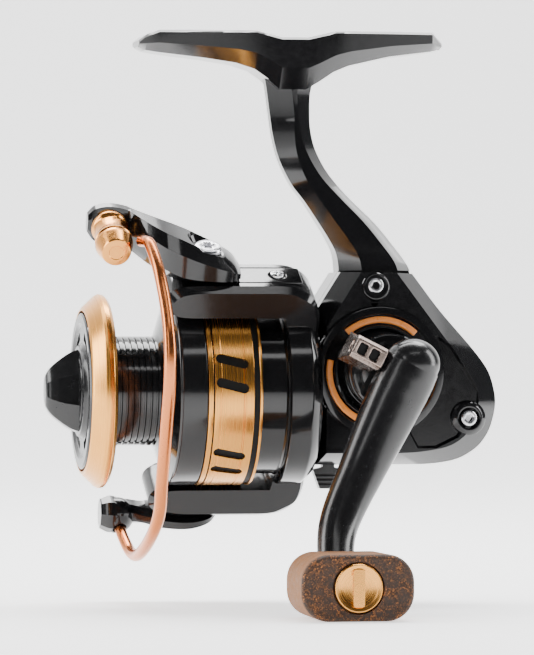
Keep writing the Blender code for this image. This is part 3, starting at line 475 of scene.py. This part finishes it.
CASE = [(9.4, -47.9), (24.0, -48.2), (29.4, -55.4), (36.9, -63.8), (39.8, -67.8), (41.0, -72.3), (41.0, -75.2),
        (39.9, -79.4), (37.6, -82.8), (33.4, -85.4), (27.6, -86.3), (4.5, -86.3), (4.5, -55.6)]
CAVITY = [(6.2, -56.4), (25.2, -56.4), (35.6, -66.6), (36.4, -73.2), (33.9, -74.0), (32.4, -75.3), (31.9, -79.2),
          (29.0, -84.2), (6.2, -84.2)]


def cavity(y0, y1):
    return lofted([[(x, y, z) for x, z in CAVITY] for y in (y0, y1)])


piece("body_shell", "body_black", slab(CASE, [(SPLIT_Y, 0), (7.0, 0), (BODY_FAR_Y - 0.4, 3.0), (BODY_FAR_Y, 3.6)], (0, 1, 11, 12)), "frame", ["reel_body"],
      add=[lofted([stem_loop(*s) for s in curve(STEM, 4)]),
           lofted([foot_loop(*s) for s in FOOT]),
           turned([(-5.2, 10.0), (-5.2, 13.2), (-4.8, 13.6), (3.0, 13.6), (3.0, 6.7), (0.6, 6.7), (0.6, 10.0)], "X", SA, 96),
           block(2.0, 5.2, 0.5, 7.6, SPOOL_Z - 10.8, SPOOL_Z + 10.8),
           turned([(8.0, 0), (8.0, 8.2), (17.2, 7.8), (17.8, 7.2), (17.8, 0)], "Y", CA, 96)],
      cuts=[block(4.25, 44.0, -20.0, SPLIT_Y, -90.0, -47.6),
            cavity(SPLIT_Y - 1.0, 8.7),
            turned([(-1.0, 0), (-1.0, 6.9), (4.4, 6.9), (4.4, 5.6), (9.0, 5.6), (9.0, 0)], "X", SA, 64),
            turned([(8.0, 0), (8.0, 6.3), (13.8, 6.3), (13.8, 3.2), (19.0, 3.2), (19.0, 0)], "Y", CA, 64),
            rod(34.0, 37.6, 1.1, "X", (0, 0, -68.1), 16),
            block(6.1, 10.3, -0.1, 6.4, -90.0, -82.6)],
      bevel=0.32)

# ------------------------------------------------------------------ side cover
RING_FACE = -12.1
COVER_BEVEL = [0.0, 3.2, 3.6, 4.2, 4.6, 4.8, 4.6, 4.4, 3.8, 3.0, 2.4, 1.2, 2.8]
ring_profile = [(-8.0, 0), (-8.0, 13.1), (RING_FACE + 0.7, 13.0), (RING_FACE + 0.2, 12.8), (RING_FACE, 12.4), (RING_FACE, 11.5),
                (RING_FACE + 0.25, 11.3), (RING_FACE + 1.3, 11.2), (RING_FACE + 1.3, 9.4), (RING_FACE + 0.2, 9.3), (RING_FACE, 9.1),
                (RING_FACE, 8.7), (RING_FACE + 0.6, 8.3), (-12.6, 8.0), (-13.0, 7.85), (-14.6, 7.8), (-14.8, 7.55), (-15.3, 7.55),
                (-15.5, 7.75), (-18.8, 7.65), (-19.0, 7.4), (-19.5, 7.4), (-19.7, 7.62), (-21.2, 7.6), (-21.7, 7.3), (-21.9, 6.9), (-21.9, 0)]
rear_pocket = [(28.3, -60.4), (31.2, -62.4), (37.0, -71.6), (37.0, -74.2), (32.6, -81.0), (28.0, -83.2), (24.0, -83.2), (20.0, -76.0), (22.0, -62.0)]
piece("cover_shell", "body_black",
      slab(CASE, [(SPLIT_Y - GAP, 0), (-5.6, 0), (COVER_FACE_Y, COVER_BEVEL)], (0, 1, 11, 12)), "frame", ["side_cover"],
      add=[], cuts=[
          cavity(-7.5, SPLIT_Y + 1.0),
          lofted([[(x, y, z) for x, z in inset(rear_pocket, d)] for y, d in ((-9.5, 0.7), (-10.9, 0.0))]),
          block(5.6, 15.0, -11.4, -10.0, -83.3, -82.4),
          turned([(-7.0, 0), (-7.0, 6.3), (-12.9, 6.3), (-12.9, 0)], "Y", CA, 64),
          rod(3.0, 9.0, 5.9, "X", SA, 48)],
      bevel=0.3)
piece("cover_ring", "body_black", turned(ring_profile, "Y", CA, 128), "frame", [],
      cuts=[turned([(-7.0, 0), (-7.0, 6.3), (-20.9, 6.3), (-20.9, 3.2), (-23.0, 3.2), (-23.0, 0)], "Y", CA, 64),
            block(-5.0, 5.2, -9.4, -7.0, -90.0, -50.0)], bevel=0.06, segments=2)
for name, at, r in (("screw_pad_top", (15.6, 0, -50.9), 2.85), ("screw_pad_rear", (34.5, 0, -77.0), 3.5)):
    outer = -10.9 if r < 3 else -11.1
    hole = (15.6, 0, -50.6) if r < 3 else at
    piece(name, "body_black", rod(outer, -8.2, r, "Y", at, 64, 0.35 if r < 3 else 0.9), "frame", [],
          cuts=[rod(-13.0, outer + 1.3, 2.1, "Y", hole, 40), rod(-13.0, -7.0, 1.2, "Y", hole, 24)], bevel=0.1, segments=2)


def hexagon(r, a0, a1, centre, turn=0.0):
    return lofted([[(centre[0] + r * math.cos(math.radians(60 * k + turn)), a, centre[2] + r * math.sin(math.radians(60 * k + turn)))
                    for k in range(6)] for a in (a0, a1)])


for name, at, face in (("cover_screw_top", (15.6, 0, -50.6), -10.9), ("cover_screw_rear", (34.5, 0, -77.0), -11.2)):
    piece(name + "_look", "steel",
          turned([(face, 0), (face, 1.35), (face + 0.2, 1.6), (face + 1.0, 1.6), (face + 1.0, 0.9), (1.3, 0.9), (1.3, 0)], "Y", at, 48),
          "frame", [name], cuts=[hexagon(0.85, face - 1.0, face + 0.7, at, 11.0)], bevel=0.06, segments=2)
piece("oil_port_look", "steel", turned([(-10.5, 0), (-10.5, 0.75), (-10.4, 1.0), (-9.9, 1.0), (-9.9, 0)], "Y", (15.4, 0, -54.0), 40),
      "frame", ["oil_port_plug"], cuts=[block(14.6, 16.2, -11.0, -10.3, -54.15, -53.85)], bevel=0.05, segments=2)
for letter, middle in (("a", 89.0), ("b", 209.0), ("c", 329.0)):
    piece("inlay_" + letter, "inlay_orange",
          turned([(RING_FACE + 0.15, 9.65), (RING_FACE + 0.0, 9.85), (RING_FACE + 0.0, 10.75), (RING_FACE + 0.15, 10.95),
                  (RING_FACE + 1.0, 10.95), (RING_FACE + 1.0, 9.65)], "Y", CA, 56, 84.0, 90.0 - middle - 42.0),
          "frame", ["ring_inlay_" + letter], bevel=0.08, segments=2)
TAB = [(7.0, -80.6), (9.4, -80.6), (9.4, -87.0), (11.4, -87.4), (9.2, -91.3), (6.4, -91.3), (5.0, -87.4), (7.0, -87.0)]
piece("lever_tab", "knob_black", lofted([[(x, y, z) for x, z in TAB] for y in (0.7, 3.3)]), "lever", ["anti_reverse_lever"],
      cuts=[block(4.0, 12.0, 0.0, 0.95, -88.6 - 0.9 * k, -88.3 - 0.9 * k) for k in range(3)], bevel=0.28)

# ------------------------------------------------------------------ rotor
piece("rotor_shell", "rotor_black", turned([
    (-9.6, 2.9), (-9.6, 6.0), (-8.3, 6.6), (-8.3, 15.2), (-15.6, 15.2), (-15.6, ROTOR_TUBE_R - 0.2), (-15.4, ROTOR_TUBE_R), (-3.4, ROTOR_TUBE_R),
    (-3.1, ROTOR_TUBE_R + 0.3), (-3.0, ROTOR_CUP_R - 0.5), (-2.6, ROTOR_CUP_R), (1.4, ROTOR_CUP_R), (1.9, 18.45), (3.0, 17.6), (3.8, 16.6),
    (3.8, 15.5), (2.7, 14.7), (-5.5, 14.7), (-5.5, 2.9)], "X", RA, 144), "rotor", [], local=True)
ARM_SIDE = [(3.8, 16.2), (3.8, 19.4), (3.0, 22.4), (1.0, 24.6), (-2.4, ARM_OUT), (-22.6, ARM_OUT), (-25.8, 25.3), (-27.6, 23.4),
            (-27.6, 21.4), (-26.4, 19.9), (-24.0, ARM_IN), (-3.2, ARM_IN), (-2.8, 17.6), (-2.4, 16.4)]
for s, word in ((1, "upper"), (-1, "lower")):
    loops = []
    for y, squeeze in ((-ARM_HALF, 1.3), (-ARM_HALF + 1.3, 0.0), (ARM_HALF - 1.3, 0.0), (ARM_HALF, 1.3)):
        row = []
        for x, u in ARM_SIDE:
            if u > 15 and squeeze:
                u = u - squeeze * 0.8 if u > 22.4 else u
                x = x + squeeze if x < -20 else (x - squeeze * 0.6 if x > 0 else x)
            row.append((x, u))
        loops.append([(x, y, u * s) for x, u in soften(row, (0, 11, 12, 13), 5)])
    low, high = sorted((24.9 * s, 27.5 * s))
    piece("rotor_arm_" + word, "rotor_black", lofted(loops), "rotor", ["rotor"] if s > 0 else [],
          cuts=[block(-13.0, 0.4, -3.4, 3.4, low, high),
                rod(min(21.2 * s, 27.5 * s), max(21.2 * s, 27.5 * s), 1.8, "Z", (BAIL_X, 0, 0), 40)],
          bevel=0.7, segments=4, local=True)
    plate = [(-12.7, -3.1), (-12.7, 3.1), (0.1, 3.1), (0.1, -3.1)]
    piece("arm_plate_" + word, "rotor_black", lofted([[(x, y, z * s) for x, y in plate] for z in (24.95, 26.0)]), "rotor",
          ["arm_cover_" + word], bevel=0.25, local=True,
          cuts=[rod(25.4, 28.0, 1.7, "Z", (-4.6, 0, 0), 32)] if s > 0 else [])
piece("arm_plate_screw", "steel", turned([(24.5, 0), (24.5, 0.6), (25.6, 0.65), (25.7, 1.45), (26.4, 1.35), (26.6, 0.9), (26.6, 0)], "Z", (-4.6, 0, 0), 40),
      "rotor", ["arm_cover_screw"], local=True, cuts=[block(-5.7, -3.5, -0.16, 0.16, 26.2, 27.5), block(-4.76, -4.44, -1.1, 1.1, 26.2, 27.5)],
      bevel=0.04, segments=2)


def star(r0, r1, z0, z1, centre, points=6):
    loop = []
    for k in range(points * 4):
        a = 2 * math.pi * k / (points * 4)
        r = (r0 + r1) / 2 + (r1 - r0) / 2 * math.cos(a * points)
        loop.append((centre[0] + r * math.cos(a), centre[1] + r * math.sin(a)))
    return lofted([[(x, y, z) for x, y in loop] for z in (z0, z1)])


piece("pivot_screw_upper", "steel", turned([(21.6, 0), (21.6, 1.4), (31.2, 1.5), (31.2, 2.8), (31.3, 2.9), (32.1, 2.9), (32.5, 2.6), (32.6, 2.1),
                                            (32.6, 0)], "Z", (BAIL_X, 0, 0), 64),
      "rotor", ["bail_pivot_screw_upper"], cuts=[star(0.85, 1.35, 31.7, 34.0, (BAIL_X, 0))], bevel=0.06, segments=2, local=True)
piece("pivot_screw_lower", "steel", turned([(-21.6, 0), (-21.6, 1.4), (-28.7, 1.5), (-28.7, 2.5), (-29.3, 2.5), (-29.5, 2.0), (-29.5, 0)],
                                           "Z", (BAIL_X, 0, 0), 64),
      "rotor", ["bail_pivot_screw_lower"], cuts=[star(0.7, 1.15, -31.0, -29.0, (BAIL_X, 0))], bevel=0.05, segments=2, local=True)

# ------------------------------------------------------------------ bail
BA = (BAIL_X, 0, 0)
UP = ARM_OUT + GAP
LEVER = [(-12.4, 0.0, 3.0, UP + 0.1, 28.2), (-14.2, 0.0, 5.2, UP, 30.0), (-19.0, 0.0, 6.3, UP, 32.6), (-24.0, 0.1, 6.1, UP, 35.0),
         (-28.0, 0.9, 5.4, 27.5, 36.4), (-31.0, 3.3, 3.8, 28.3, 36.9), (-33.4, 5.7, 2.2, 29.0, 37.2), (-34.9, 6.7, 1.7, 29.2, 37.5),
         (-38.2, 6.8, 1.7, 29.4, 38.0), (-40.8, 6.8, 1.6, 30.6, 37.4), (-42.2, 6.8, 1.3, 32.4, 36.0)]
piece("bail_lever", "rotor_black", lofted([octagon(x, y - h, y + h, z0, z1, 0.24) for x, y, h, z0, z1 in curve(LEVER, 5)]),
      "bail", ["bail_arm"], bevel=0.3, limit=24.0, local=True, sharp=30.0,
      cuts=[turned([(30.9, 0), (30.9, 3.3), (32.0, 3.3), (33.2, 4.1), (36.0, 4.1), (36.0, 0)], "Z", BA, 64),
            rod(25.0, 36.0, 1.8, "Z", BA, 40)])
RO = (-38.0, 0, 34.2)
piece("roller_band", "roller_gold", turned([(4.5, 2.5), (4.5, 3.4), (4.4, 3.6), (3.9, 3.65), (3.5, 3.4), (2.9, 3.02), (0.4, 2.95), (-0.4, 3.2),
                                            (-1.1, 3.6), (-1.9, 3.65), (-2.1, 3.5), (-2.1, 2.5)], "Y", RO, 72),
      "roller", ["line_roller"], local=True)
piece("roller_cap", "roller_gold", turned([(-2.5, 0), (-2.5, 3.3), (-2.6, 3.6), (-3.0, 3.75), (-3.5, 3.6), (-6.1, 2.95), (-6.5, 2.75), (-6.6, 2.5),
                                           (-6.6, 1.5), (-6.5, 1.4), (-6.5, 0)], "Y", RO, 72),
      "bail", ["roller_end_cap"], local=True)
swing = math.radians(71.0)


def bail_point(u, p, q):
    v = p * math.sin(swing) - q * math.cos(swing)
    return Vector((BAIL_X - p * math.cos(swing) - q * math.sin(swing), -v, u))


WIRE = [(35.6, 8.5, 11.8), (36.6, 10.4, 10.4), (36.8, 12.4, 9.2), (34.6, 18.4, 6.2), (30.4, 23.8, 3.5), (25.6, 29.2, 1.3),
        (19.0, 32.2, 0.2), (9.0, 33.0, 0.0), (-3.0, 33.0, 0.0), (-10.0, 32.2, 0.1), (-16.0, 30.0, 1.3), (-23.6, 24.0, 3.8),
        (-29.0, 18.2, 6.2), (-30.9, 14.0, 8.2), (-30.8, 10.2, 10.2), (-30.2, 6.6, 12.0)]
wire_points = curve([tuple(bail_point(*w)) for w in WIRE], 10)
count = len(wire_points)
wire_radii = [1.10 + 0.14 * math.sin(math.pi * i / (count - 1)) for i in range(count)]
piece("wire", "bail_copper", tube(wire_points, wire_radii, 24), "bail", ["bail_wire"], local=True)
LOW = [(-12.8, 0.0, 2.0, 27.4, 26.4), (-15.0, 0.0, 4.6, 28.6, 26.3), (-19.0, 0.0, 5.6, 29.6, 26.3), (-24.0, 0.2, 4.8, 30.0, 26.3),
       (-27.8, 0.9, 3.0, 30.2, 26.5), (-30.4, 1.0, 2.4, 30.6, 26.0), (-32.4, 0.6, 3.0, 31.6, 25.6), (-34.4, 0.4, 3.2, 32.0, 25.0),
       (-36.4, 0.4, 2.4, 31.2, 25.6)]
piece("trunnion", "rotor_black", lofted([octagon(x, y - h, y + h, -z0, -z1, 0.28) for x, y, h, z0, z1 in curve(LOW, 5)]),
      "bail", ["bail_trunnion"], bevel=0.2, segments=2, limit=30.0, local=True, sharp=35.0,
      add=[ball((-32.8, 0.4, -28.8), (3.5, 3.3, 3.8), 48, 24)],
      cuts=[rod(-36.0, -25.0, 1.8, "Z", BA, 40), rod(-36.0, -28.4, 2.9, "Z", BA, 48),
            tube([bail_point(-30.8, 10.2, 10.2), bail_point(-30.3, 7.0, 11.8), bail_point(-30.1, 5.2, 12.8)], WIRE_R + 0.3, 24)])

# ------------------------------------------------------------------ spool
arbor = [(-36.6, ARBOR_R + 0.3), (-36.3, ARBOR_R)]
for k in range(7):
    a = -35.6 + k * 1.2
    arbor += [(a, ARBOR_R), (a + 0.12, ARBOR_R - 0.35), (a + 0.38, ARBOR_R - 0.35), (a + 0.5, ARBOR_R)]
arbor += [(-27.5, ARBOR_R), (-27.2, 11.2), (-27.0, 11.9), (-24.9, 18.2), (-24.7, 18.45)]
piece("spool_shell", "spool_black", turned(
    [(-40.6, 14.6), (-40.6, 15.7), (-37.4, 15.7), (-37.0, 12.6)] + arbor +
    [(-24.4, SKIRT_R - 0.1), (-23.9, SKIRT_R), (-19.7, SKIRT_R), (-19.5, SKIRT_R - 0.15), (-19.5, 17.75), (-8.5, 17.75), (-8.5, 16.9),
     (-21.0, 16.9), (-22.6, 15.2), (-22.6, 2.2), (-31.5, 2.2), (-31.5, 9.4), (-38.4, 9.4), (-38.4, 14.2), (-40.2, 14.2)], "X", SA, 160),
    "spool", ["spool"])
piece("lip", "gold", turned([(-41.9, 16.0), (-41.95, 16.25), (-41.85, 16.5), (-41.6, 16.85), (-39.5, 18.85), (-39.3, 19.0), (-38.75, LIP_R), (-38.6, LIP_R),
                             (-37.9, 19.15), (-37.75, 19.05), (-37.2, 18.4), (-37.1, 18.2), (-37.1, 16.0)], "X", SA, 180),
      "spool", ["spool_lip"], sharp=20.0)
band_profile = [(-19.2, 18.05), (-19.2, SKIRT_R - 0.08), (-19.1, SKIRT_R), (-18.4, SKIRT_R), (-18.3, SKIRT_R - 0.08), (-18.3, 18.3), (-18.0, 18.3),
                (-18.0, SKIRT_R - 0.08), (-17.9, SKIRT_R), (-17.0, SKIRT_R), (-16.95, SKIRT_R - 0.1), (-16.7, SKIRT_R - 0.1), (-16.6, SKIRT_R),
                (-12.3, SKIRT_R), (-12.2, SKIRT_R - 0.1), (-11.95, SKIRT_R - 0.1), (-11.9, SKIRT_R), (-10.3, SKIRT_R), (-10.2, SKIRT_R - 0.08),
                (-10.2, 18.3), (-9.0, 18.3), (-9.0, SKIRT_R - 0.05), (-8.95, SKIRT_R), (-8.55, SKIRT_R), (-8.5, SKIRT_R - 0.05), (-8.5, 18.05)]
slant = math.radians(14.0)
slots, floors = [], []
for k in range(6):
    for side in (-7.5, 7.5):
        a = math.radians(11.3 + 60.0 * k + side)
        outward, upward = Vector((0, -math.cos(a), math.sin(a))), Vector((0, math.sin(a), math.cos(a)))
        # floors collects the painted-shade sheets laid under each slot
        for grow, keep, low, high in ((0.0, slots, 18.22, 20.0), (0.25, floors, 18.08, 18.24)):
            shape = []
            for t in range(24):
                c, s = math.cos(2 * math.pi * (t + 0.5) / 24), math.sin(2 * math.pi * (t + 0.5) / 24)
                lx, ly = (2.35 if c > 0 else -2.35) + (0.95 + grow) * c, (0.95 + grow) * s
                shape.append((-14.5 + lx * math.cos(slant) + ly * math.sin(slant), ly * math.cos(slant) - lx * math.sin(slant)))
            keep.append(lofted([[Vector((x, 0, SPOOL_Z)) + upward * y + outward * r for x, y in shape] for r in (low, high)]))
piece("band", "gold", turned(band_profile, "X", SA, 180), "spool", ["skirt_band"], cuts=slots, sharp=40.0)
# painted shade: thin matte black floors under the band's slots stand in for the shaded black spool seen through them
for k, shape in enumerate(floors):
    piece("slot_floor_%02d" % k, "painted_shade_black", shape, "spool", [])
# painted shade: thin matte black rings fill the floors of the band's two grooves
for k, (a0, a1) in enumerate(((-18.32, -17.98), (-10.22, -8.98))):
    piece("band_groove_%d" % k, "painted_shade_black", turned([(a0, 18.0), (a0, 18.33), (a1, 18.33), (a1, 18.0)], "X", SA, 120), "spool", [])

# ------------------------------------------------------------------ drag knob
crescents = []
for k in range(4):
    crescents.append(turned([(-43.0, 10.3), (-43.0, 12.1), (-41.3, 12.0), (-41.3, 10.4)], "X", SA, 24, 62.0, 90.0 * k + 14.0))
piece("dial_disc", "knob_black", turned([
    (-38.2, 0), (-38.2, 6.4), (-40.9, 7.4), (-41.0, 15.0), (-41.1, 15.4), (-41.5, 15.65), (-42.0, 15.5), (-42.25, 15.2), (-42.25, 13.6), (-42.1, 13.35),
    (-41.8, 12.9), (-41.8, 9.6), (-42.1, 9.3), (-42.6, 9.0), (-42.75, 8.7), (-42.75, 7.6), (-42.55, 7.4), (-42.55, 6.9), (-42.8, 6.7), (-42.8, 0)],
    "X", SA, 144), "dial", ["drag_knob"],
    cuts=crescents + [turned([(-37.0, 0), (-37.0, 4.6), (-42.0, 4.6), (-42.0, 0)], "X", SA, 48)], bevel=0.08, segments=2)


def grip_loop(x, half_y, half_z, c=0.3):
    turn = Matrix.Rotation(math.radians(-6.0), 3, "X")
    return [Vector((x, 0, SPOOL_Z)) + turn @ Vector((0, y, z)) for _, y, z in octagon(x, -half_y, half_y, -half_z, half_z, c)]


piece("dial_grip", "knob_black", lofted([grip_loop(*g) for g in curve([(-42.3, 3.5, 8.3), (-44.4, 3.2, 7.5), (-46.6, 2.8, 6.0), (-48.2, 2.5, 4.6), (-49.05, 2.1, 3.3), (-49.3, 1.6, 2.4)], 5)]),
      "dial", [], bevel=0.35, segments=4, limit=24.0,
      cuts=[lofted([[Vector((x, 0, SPOOL_Z)) + Matrix.Rotation(math.radians(-6.0), 3, "X") @ Vector((0, y, z))
                     for x, z in ((-42.9, 3.1 * w), (-42.9, -3.1 * w), (-47.4, -2.3 * w), (-47.4, 2.3 * w))] for y in ys])
            for ys, w in (((-5.0, -2.75), 1.0), ((2.75, 5.0), 1.0))])

# ------------------------------------------------------------------ handle
lean = math.radians(27.0)
DOWN = Vector((-math.sin(lean), 0, -math.cos(lean)))
PIN = Vector((math.cos(lean), 0, -math.sin(lean)))
HUB = Vector((CRANK_X, -30.4, CRANK_Z)) - DOWN * 0.5
PIN_R = 1.0


def along_pin(w0, w1, shape):
    return lofted([[HUB + PIN * w + DOWN * d + Vector((0, y, 0)) for d, y in shape] for w in (w0, w1)])


def pin_ring(w0, w1, r, steps=48):
    return lofted([[HUB + PIN * w + DOWN * (math.cos(2 * math.pi * k / steps) * r)
                    + Vector((0, math.sin(2 * math.pi * k / steps) * r, 0)) for k in range(steps)] for w in (w0, w1)])


LUG = [(-3.0, 8.2), (3.0, 8.2), (2.3, 3.2), (2.3, -2.2), (1.6, -3.2), (-1.6, -3.2), (-2.3, -2.2), (-2.3, 3.2)]
slot_shape = [(-1.1, -2.2), (1.1, -2.2), (1.1, -5.0), (-1.1, -5.0)]
piece("knuckle", "knuckle_metal", along_pin(-10.8, -4.2, LUG), "crank", ["handle_knuckle"],
      cuts=[pin_ring(-12.0, 4.0, PIN_R + 0.3), along_pin(-9.9, -8.2, slot_shape), along_pin(-7.3, -5.6, slot_shape)], bevel=0.3, segments=4)
# painted shade: thin matte black sheets fill the floors of the knuckle's two slots
for k, (w0, w1) in enumerate(((-9.85, -8.25), (-7.25, -5.65))):
    piece("knuckle_slot_%d" % k, "painted_shade_black", along_pin(w0, w1, [(-1.05, -2.15), (1.05, -2.15), (1.05, -2.45), (-1.05, -2.45)]), "crank", [])
piece("knuckle_collar", "knob_black", turned([(-25.0, 0), (-25.0, 5.2), (-24.9, 5.6), (-24.4, 6.15), (-24.2, 6.2), (-22.6, 6.2), (-22.2, 5.8), (-22.2, 0)], "Y", CA, 96),
      "crank", [], bevel=0.08, segments=2,
      cuts=[turned([(-26.0, 0), (-26.0, 2.9), (-20.0, 2.9), (-20.0, 0)], "Y", CA, 48),
            along_pin(-4.2, 9.0, [(-9.0, -4.0), (9.0, -4.0), (9.0, 7.5), (-9.0, 7.5)]), along_pin(-10.9, -4.2, [(d * 1.04, y) for d, y in LUG])])
piece("screw_cap", "knob_black", turned([(18.1, 0), (18.1, 5.6), (18.3, 6.0), (18.7, 6.3), (24.2, 6.3), (24.8, 6.0), (25.2, 5.2), (25.2, 3.6), (24.9, 3.4), (24.9, 0)],
                                        "Y", CA, 96), "crank", ["handle_screw_cap"],
      cuts=[rod(18.6, 24.4, 0.35, "Y", (CRANK_X + 6.45 * math.cos(math.pi * k / 12), 0, CRANK_Z + 6.45 * math.sin(math.pi * k / 12)), 10) for k in range(24)]
           + [block(CRANK_X - 3.0, CRANK_X + 3.0, 24.3, 26.0, CRANK_Z - 0.5, CRANK_Z + 0.5)], bevel=0.08, segments=2)
piece("fold_pin", "steel", pin_ring(-10.4, 4.1, PIN_R), "crank", ["folding_pin"], bevel=0.12)
sway = math.radians(19.5)
KNOB_X, KNOB_Z = CRANK_X - 42.6 * math.sin(sway), CRANK_Z - 42.6 * math.cos(sway)
KA = (KNOB_X, 0, KNOB_Z)
HEAD = HUB + PIN * 1.5 - DOWN * 2.1
arm_path = [HEAD, HEAD + DOWN * 9.0 + Vector((0, -0.4, 0)), HEAD + DOWN * 22.0 + Vector((0.0, -2.4, 0)),
            HEAD + DOWN * 34.5 + Vector((0.0, -6.2, 0)), Vector((KNOB_X - 0.6, -41.0, KNOB_Z + 2.6))]
arm_r = [4.75, 4.95, 4.95, 4.8, 4.55, 4.25, 3.95, 3.7, 3.5, 3.3, 3.15, 3.05, 2.95]
arm_points = curve([tuple(p) for p in arm_path], 12)
arm_radii = [arm_r[i // 4] + (arm_r[min(i // 4 + 1, 12)] - arm_r[i // 4]) * (i % 4) / 4 for i in range(len(arm_points))]
piece("arm", "arm_black", tube(arm_points, arm_radii, 48, 1.18, PIN), "arm", ["handle_arm"],
      add=[ball(HEAD, (5.5, 4.85, 4.95), 64, 32), rod(-43.6, -38.0, 4.1, "Y", KA, 64, 0.6)],
      cuts=[pin_ring(-6.0, 4.4, PIN_R + 0.3), along_pin(-8.0, -3.9, [(-9.0, -7.0), (9.4, -7.0), (9.4, 7.0), (-9.0, 7.0)]),
            rod(-46.0, -40.2, 1.9, "Y", KA, 40)], bevel=0.3, segments=3, limit=35.0)


def knob_rows():
    rows = []
    for y, grow in ((-44.0, 1.0), (-44.15, 0.6), (-44.5, 0.25), (-45.0, 0.12), (-53.0, 0.05), (-61.0, 0.0), (-61.5, 0.1), (-61.85, 0.4), (-62.0, 0.8)):
        rows.append([(x, y, z) for x, z in rounded(KNOB_X, KNOB_Z, 10.8 - grow, 6.3 - grow, 5.3 - grow, 12)])
    return rows


piece("knob_cork", "cork", lofted(knob_rows()), "knob", ["handle_knob"],
      cuts=[turned([(-43.0, 0), (-43.0, 2.9), (-60.0, 2.9), (-60.0, 4.9), (-61.8, 4.9), (-63.0, 5.2), (-63.0, 0)], "Y", KA, 72)], sharp=45.0)
piece("knob_dish", "cap_gold", turned([(-60.7, 0), (-60.7, 4.2), (-62.0, 4.55), (-62.3, 4.6), (-62.5, 4.45), (-62.5, 4.2), (-62.2, 3.6), (-61.9, 2.9), (-61.75, 0)],
                                      "Y", KA, 96), "knob", ["knob_cap"],
      add=[lofted([[(KNOB_X + x, y, KNOB_Z + z) for x, z in rounded(0, 0, 1.1, 3.55, 0.5, 5)] for y in (-62.5, -61.2)])], bevel=0.1, segments=2, limit=35.0)

# ------------------------------------------------------------------ floor, backdrop, light, camera
def paper(name, colour, rough, glow=0.0):
    made, tree, s = start(name)
    n = noise(tree, 6.0, 3.0)
    link(tree, mix(tree, n.outputs["Fac"], tuple(c * 0.99 for c in colour), colour), s.inputs["Base Color"])
    s.inputs["Roughness"].default_value = rough
    s.inputs["Emission Color"].default_value = (1, 1, 1, 1)
    s.inputs["Emission Strength"].default_value = glow
    return made


low = cad_bounds[0][2]
profile = [(-1.6, 0.0), (0.9, 0.0)] + [(0.9 + 0.6 * math.sin(math.radians(a)), 0.6 - 0.6 * math.cos(math.radians(a))) for a in range(6, 91, 6)] + [(1.5, 2.6)]
bm = bmesh.new()
rows = [[bm.verts.new((x, y, low + z)) for y, z in profile] for x in (-3.0, 3.0)]
for i in range(len(profile) - 1):
    bm.faces.new((rows[0][i], rows[1][i], rows[1][i + 1], rows[0][i + 1]))
mesh = bpy.data.meshes.new("sweep")
bm.to_mesh(mesh)
bm.free()
sweep = bpy.data.objects.new("sweep", mesh)
bpy.context.scene.collection.objects.link(sweep)
mesh.shade_smooth()
mesh.materials.append(paper("sweep_paper", (0.90, 0.90, 0.90), 0.7, 1.0))


def softbox(name, place, aim, width, height, watts, colour=(1, 1, 1)):
    data = bpy.data.lights.new(name, "AREA")
    data.shape, data.size, data.size_y = "RECTANGLE", width, height
    data.energy, data.color = watts, colour
    made = bpy.data.objects.new(name, data)
    bpy.context.scene.collection.objects.link(made)
    made.location = place
    made.rotation_euler = (Vector(aim) - Vector(place)).to_track_quat("-Z", "Y").to_euler()


MID = (-0.004, 0.0, -0.059)
softbox("top", (0.05, 0.22, 0.50), MID, 0.60, 0.30, 7.0)
softbox("left", (-0.60, 0.02, 0.12), MID, 0.22, 0.70, 5.0)
softbox("left_front", (-0.55, -0.75, 0.25), MID, 0.16, 0.60, 1.2)
softbox("right", (0.60, -0.10, 0.10), MID, 0.20, 0.70, 4.5)
softbox("high_front", (0.15, -0.70, 0.75), MID, 0.60, 0.12, 0.8)
softbox("floor_wash", (0.0, 0.7, 1.2), (0.0, 1.2, 0.0), 2.0, 1.0, 30.0)

world = bpy.context.scene.world or bpy.data.worlds.new("world")
bpy.context.scene.world = world
world.use_nodes = True
back = world.node_tree.nodes.get("Background")
back.inputs["Color"].default_value = (0.80, 0.82, 0.85, 1)
back.inputs["Strength"].default_value = 0.10

lens = bpy.data.cameras.new("camera")
lens.sensor_width, lens.lens = 36.0, 261.07
lens.clip_start, lens.clip_end = 0.05, 20.0
camera = bpy.data.objects.new("camera", lens)
bpy.context.scene.collection.objects.link(camera)
camera.location = (-0.16944, -0.93557, -0.05896)
camera.rotation_euler = (math.radians(90.0), 0.0, math.radians(-10.0))
bpy.context.scene.camera = camera
